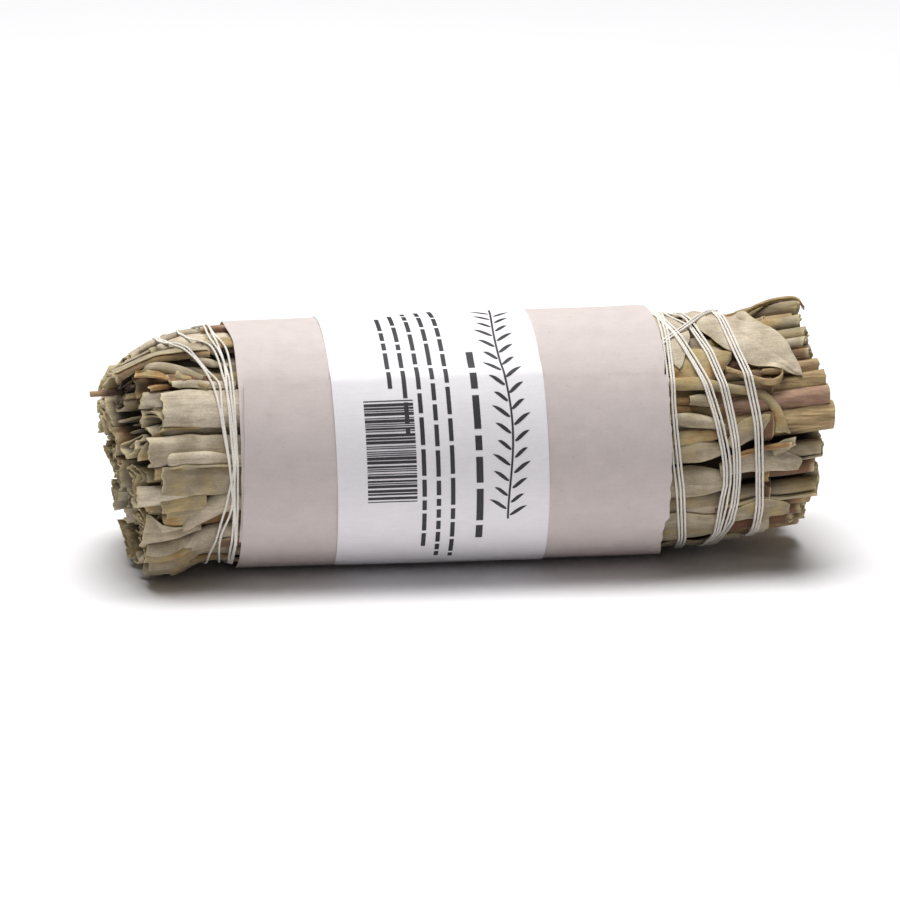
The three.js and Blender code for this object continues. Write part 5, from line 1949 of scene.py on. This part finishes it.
@dataclass
class PaperBand:
    """One sheet of paper wound just over once, with its free edge along the front."""

    thickness: float = 0.22
    tuck: float = 0.42
    seam_slant: float = -0.052
    left_edge: tuple = ((-36, -46.6), (60, -46.6), (73, -46.8), (83, -47.3), (90, -47.8), (120, -47.8), (200, -47.2),
                        (290, -46.3), (358, -46.1), (391, -45.7), (404, -45.4))
    right_edge: tuple = ((-36, 45.9), (41, 46.0), (51, 46.5), (68, 46.3), (77, 46.0), (89, 45.7), (101, 45.4),
                         (180, 46.0), (270, 47.0), (291, 47.5), (310, 46.5), (331, 46.1), (332.2, 46.9),
                         (350, 46.8), (376, 47.0), (382, 46.5), (404, 46.5))
    dents: tuple = ((-33.9, 42.5, 0.7, 0.3), (25.7, 17.1, 0.8, -0.25), (27.0, 15.0, 0.5, 0.15),
                    (30.7, 0.5, 0.6, -0.12), (38.0, 52.0, 4.0, -0.25))

    def build(self, paper: Material) -> None:
        """Builds the band.

        Args:
            paper: its material.
        """
        turn = np.linspace(FLAP_EDGE_ANGLE - FLAP_RAMP, FLAP_EDGE_ANGLE + 360, 330)[None, :]
        share = np.concatenate([[0, 0.006], np.linspace(0.012, 0.988, 70), [0.994, 1]])[:, None]
        free = smoothstep((turn - 290) / 20)
        left = np.interp(turn, *zip(*self.left_edge)) + 0.07 * noise(turn / 6, seed=1)
        ragged = 0.16 * noise(turn / 4.2, seed=2) + 0.12 * noise(turn / 1.9, seed=3)
        right = np.interp(turn, *zip(*self.right_edge)) + free * ragged + 0.06 * noise(turn / 7, seed=9)
        x = left + (right - left) * share
        ending = smoothstep((turn - 380) / 24)
        angle = turn + ending * (self.seam_slant * x + 0.3 * noise(x / 9, seed=4) + 0.1 * noise(x / 1.7, seed=8))
        first = -self.tuck * np.clip((FLAP_EDGE_ANGLE - turn) / FLAP_RAMP, 0, 1)
        last = FLAP_RISE * np.clip((turn - 360 - FLAP_EDGE_ANGLE + FLAP_RAMP) / FLAP_RAMP, 0, 1)
        lifted = FLAP_LIFT * np.clip((turn - 360 - FLAP_LIFT_FROM) / FLAP_LIFT_RUN, 0, 1) ** 2
        lifted = lifted * (1 + 0.3 * noise(x / 15, seed=7))
        rise = first + last + lifted - self.thickness / 2 + 0.12 * fractal(x / 17, turn / 26, seed=5)
        ends = np.exp(-share * 94 / 2.5) + np.exp(-(1 - share) * 94 / 2.5)
        rise = rise + 0.18 * ends * noise(turn / 12, x / 6, seed=6)
        for middle, at, wide, size in self.dents:
            near = ((x - middle) / wide) ** 2 + ((turn - 360 - at) / (wide * 2.1)) ** 2
            rise = rise + size * np.exp(-near)
        draft = Draft()
        draft.sheet(on_band(x, angle, rise), self.thickness, 0.0, ends)
        dress(draft.build("pasted_paper_band", [paper], 40), "kraft_paper", "paper_band")


def wrap_tree() -> NodeTree:
    """Makes the tree that lays flat marks round the band.

    Returns:
        The tree. It reads X along the band, Y round it and Z away from it.
    """
    tree = Tree("wrap round band", {"Radius Left": 0.027, "Radius Right": 0.0277, "Half Length": 0.0467,
                                    "Flat Depth": 0.0003, "Arc Radius": 0.0277, "Material": "NodeSocketMaterial"})
    entry, maths = tree.entry.outputs, tree.maths
    flat = tree.node("ShaderNodeSeparateXYZ", {0: tree.node("GeometryNodeInputPosition").outputs[0]}).outputs
    share = maths("DIVIDE", maths("ADD", flat[0], entry["Half Length"]), maths("MULTIPLY", entry["Half Length"], 2.0))
    widening = maths("MULTIPLY", share, maths("SUBTRACT", entry["Radius Right"], entry["Radius Left"]))
    own = maths("ADD", entry["Radius Left"], widening)
    turn = maths("DIVIDE", flat[1], entry["Arc Radius"])
    radius = maths("ADD", own, flat[2])
    front = maths("MULTIPLY", maths("MULTIPLY", radius, maths("COSINE", turn)), -1.0)
    rise = maths("MULTIPLY", radius, maths("SINE", turn))
    height = maths("ADD", maths("SUBTRACT", own, entry["Flat Depth"]), rise)
    place = tree.node("ShaderNodeCombineXYZ", {0: flat[0], 1: front, 2: height}).outputs[0]
    moved = tree.node("GeometryNodeSetPosition", {"Geometry": entry["Geometry"], "Position": place})
    tree.end(moved.outputs[0])
    return tree.tree


@dataclass
class Label:
    """White label pasted round the band, with plain print."""

    thickness: float = 0.12
    lift: float = 0.2
    ink: float = 0.05
    slant: float = -0.0162
    lines: tuple = ((-1.6, 101, -53), (-4.7, 98, -52), (-7.8, 96, -46), (-10.9, 92, 18), (-14.0, 88, 36))
    line_height: float = 0.95

    def rise(self, x: Array, angle: Array) -> Array:
        """How far its middle lies outside the band's own radius, over the band's free edge."""
        below = np.clip(1 - (FLAP_EDGE_ANGLE - angle) / FLAP_RAMP, 0, 1)
        lifted = FLAP_LIFT * np.clip((angle - FLAP_LIFT_FROM) / FLAP_LIFT_RUN, 0, 1) ** 2
        over = smoothstep((FLAP_EDGE_ANGLE + 9 - angle) / 9)
        ripple = 0.05 * fractal(np.asarray(x) / 12, np.asarray(angle) / 22, seed=11)
        return (FLAP_RISE * below + lifted) * over + self.lift + ripple

    def leaning(self, angle: Array) -> Array:
        """How far its edges stray along X at an angle."""
        return self.slant * (np.asarray(angle) - 10)

    def mark(self, draft: Draft, x: Array, angle: Array) -> None:
        """Adds one printed mark, given by a grid of places."""
        x = x + self.leaning(angle)
        rise = self.rise(x, angle) + self.thickness / 2 + self.ink / 2
        draft.sheet(np.stack([x, np.radians(angle) * BAND_RADIUS_RIGHT, rise], -1), self.ink, 0.0)

    def bar(self, draft: Draft, x: tuple[float, float], angle: tuple[float, float]) -> None:
        """Adds a printed rectangle between two places along X and two angles."""
        steps = max(2, int(abs(angle[1] - angle[0]) / 1.5) + 1)
        self.mark(draft, *np.meshgrid(np.linspace(*x, 3), np.linspace(*angle, steps), indexing="ij"))

    def sprig(self, draft: Draft) -> None:
        """Adds a plain printed sprig of leaves along the label."""
        stem = np.linspace(98, -24, 90)
        sway = 11.6 + 0.7 * np.sin(np.radians(stem * 4.2))
        side = np.array([-0.22, 0, 0.22])[:, None]
        self.mark(draft, sway[None, :] + side, np.broadcast_to(stem, (3, 90)))
        t = np.linspace(0, 1, 12)[:, None]
        v = np.linspace(-1, 1, 5)[None, :]
        for k, angle in enumerate(np.arange(90, -19, -7.2)):
            for way in (-1, 1):
                start = np.interp(angle, stem[::-1], sway[::-1])
                length = 4.3 - 0.5 * (k % 3)
                half = 0.95 * np.sin(np.pi * t**0.75) + 0.04
                x = start + way * (0.35 + length * t * 0.86) + half * v * 0.45 * way
                turned = angle - 3.6 * (way > 0) + np.degrees(length * t * 0.55 + half * v * 0.86) / BAND_RADIUS_RIGHT
                self.mark(draft, x, turned)

    def print(self) -> Draft:
        """Shapes the printed marks, flat.

        Returns:
            Their draft.
        """
        rng = random.Random(SEED)
        draft = Draft()
        self.sprig(draft)
        angle = 58.0
        for word in (9.5, 7.5, 15.0, 6.5, 12.0, 17.0, 8.5):
            self.bar(draft, (4.0, 5.5), (angle, angle - word))
            angle -= word + 3.0
        for x, start, stop in self.lines:
            angle = float(start)
            while angle > stop + 3:
                word = min(rng.uniform(3.0, 14.0), angle - stop)
                self.bar(draft, (x, x + self.line_height), (angle, angle - word))
                angle -= word + 1.9
        angle = 34.0
        while angle > -12.5:
            wide, gap = rng.choice((0.45, 0.45, 0.9, 1.35)), rng.choice((0.45, 0.45, 0.9))
            self.bar(draft, (-19.6, -8.9), (angle, angle - wide))
            angle -= wide + gap
        return draft

    def build(self, white: Material, ink: Material) -> None:
        """Builds the label and its print.

        Args:
            white: label paper.
            ink: print.
        """
        share = np.linspace(0, 1, 48)[:, None]
        angle = np.linspace(LABEL_FROM, LABEL_TO, 170)[None, :]
        x = LABEL_LEFT + (LABEL_RIGHT - 0.4 - LABEL_LEFT) * share + self.leaning(angle)
        draft = Draft()
        draft.sheet(on_band(x, angle, self.rise(x, angle)), self.thickness, 0.0)
        dress(draft.build("pasted_label", [white], 40), "label_paper", "label")
        flat = self.print().build("flat_print", [ink])
        values = {"Radius Left": BAND_RADIUS_LEFT * MM, "Radius Right": BAND_RADIUS_RIGHT * MM,
                  "Half Length": BAND_HALF_LENGTH * MM, "Flat Depth": BAND_FLAT_DEPTH * MM,
                  "Arc Radius": BAND_RADIUS_RIGHT * MM, "Material": ink}
        piece = grown(flat, wrap_tree(), values, "label_print")
        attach(piece, "root")
        LOG.info("%s: %d faces", piece.name, len(piece.data.polygons))


# Studio

@dataclass
class Studio:
    """Floor, lights and camera."""

    target: tuple[float, float, float] = (1.976, 0.0, 23.944)
    azimuth: float = -7.451
    elevation: float = 16.999
    roll: float = 0.546
    distance: float = 1200.457
    focal_pixels: float = 5440.5
    image_pixels: int = 900
    sensor: float = 36.0
    dim: float = 0.1

    def camera(self) -> None:
        """Puts the camera where the photograph was taken from."""
        a, e, r = (math.radians(v) for v in (self.azimuth, self.elevation, self.roll))
        back = Vector((math.sin(a) * math.cos(e), -math.cos(a) * math.cos(e), math.sin(e)))
        right = Vector((math.cos(a), math.sin(a), 0))
        up = back.cross(right)
        turned_right = math.cos(r) * right + math.sin(r) * up
        turned_up = -math.sin(r) * right + math.cos(r) * up
        data = bpy.data.cameras.new("camera")
        data.sensor_width = self.sensor
        data.lens = self.focal_pixels * self.sensor / self.image_pixels
        data.clip_start = 0.01
        camera = placed("camera", data)
        turn = Matrix((turned_right, turned_up, back)).transposed().to_4x4()
        camera.matrix_world = Matrix.Translation((Vector(self.target) + back * self.distance) * MM) @ turn
        bpy.context.scene.camera = camera

    def sky(self) -> None:
        """Makes everything round the floor white to the eye and dim as a light."""
        world = bpy.data.worlds.new("studio")
        world.use_nodes = True
        s = Shader(world.node_tree)
        seen = s.node("ShaderNodeLightPath").outputs["Is Camera Ray"]
        strength = s.ranged(seen, 0, 1, self.dim, 1.0)
        light = s.node("ShaderNodeBackground", {"Color": (0.98, 0.975, 1.0, 1.0), "Strength": strength})
        s.node("ShaderNodeOutputWorld", {"Surface": light.outputs[0]})
        bpy.context.scene.world = world

    def light(self, name: str, place: tuple, size: tuple, power: float, aim: tuple = (0.0, 0.0, 0.02)) -> None:
        """Adds a soft area light.

        Args:
            name: its name.
            place: where it stands, in metres.
            size: its width and height in metres.
            power: in watts.
            aim: the point that it faces.
        """
        data = bpy.data.lights.new(name, "AREA")
        data.shape = "RECTANGLE"
        data.size, data.size_y = size
        data.energy = power
        lamp = placed(name, data)
        lamp.location = place
        lamp.rotation_euler = (Vector(aim) - Vector(place)).to_track_quat("-Z", "Y").to_euler()

    def build(self) -> None:
        """Builds the studio."""
        draft = Draft()
        x, y = np.meshgrid(np.linspace(-4000, 4000, 9), np.linspace(-4000, 4000, 9), indexing="ij")
        draft.sheet(np.stack([x, y, np.full(x.shape, -0.6)], -1), 1.0, 0.0)
        floor = draft.build("floor", [FloorFinish().material()])
        self.sky()
        bpy.context.scene.view_settings.view_transform = "Standard"
        self.light("key", (-0.05, 0.08, 1.27), (0.95, 0.8), 23.5)
        self.camera()


def main() -> None:
    """Builds the pieces in order and reports them."""
    logging.basicConfig(level=logging.INFO, format="%(message)s")
    leaf = LeafFinish("sage_leaf").material()
    wood = WoodFinish("sage_stem").material()
    left, right = Relief(-84, -42, 4.5), Relief(42, 90, 4.5)
    herbs = LeafyStems(left, right).drafts() + OuterLeaves(left, right).drafts()
    every = np.concatenate([part["points"] for _, _, draft in herbs for part in draft.parts])
    ends = Hollows(-1), Hollows(1)
    for end in ends:
        end.lay(every)
        end.level()
    for node, slot, draft in herbs:
        # The depth attribute sets where shade is painted into the leaves and stems.
        draft.depth = lambda points: np.where(points[:, 0] < 0, ends[0].depth(points), ends[1].depth(points))
        dress(draft.build(f"dressed_{node}", [leaf, wood]), slot, node)
    BindingThread(left, right).build(CottonFinish("cotton_thread").material())
    kraft = PaperFinish("kraft_paper", srgb(207, 196, 192), srgb(152, 139, 126), 0.12, 0.035, 0.4)
    white = PaperFinish("label_paper", srgb(238, 235, 238), srgb(214, 210, 206), 0.08, 0.015, 0.2, 0.7)
    PaperBand().build(kraft.material())
    Label().build(white.material(), InkFinish("print").material())
    Studio().build()
    total = sum(len(o.data.polygons) for o in bpy.context.scene.objects if o.type == "MESH")
    LOG.info("%d faces in all", total)


if __name__ == "__main__":
    main()
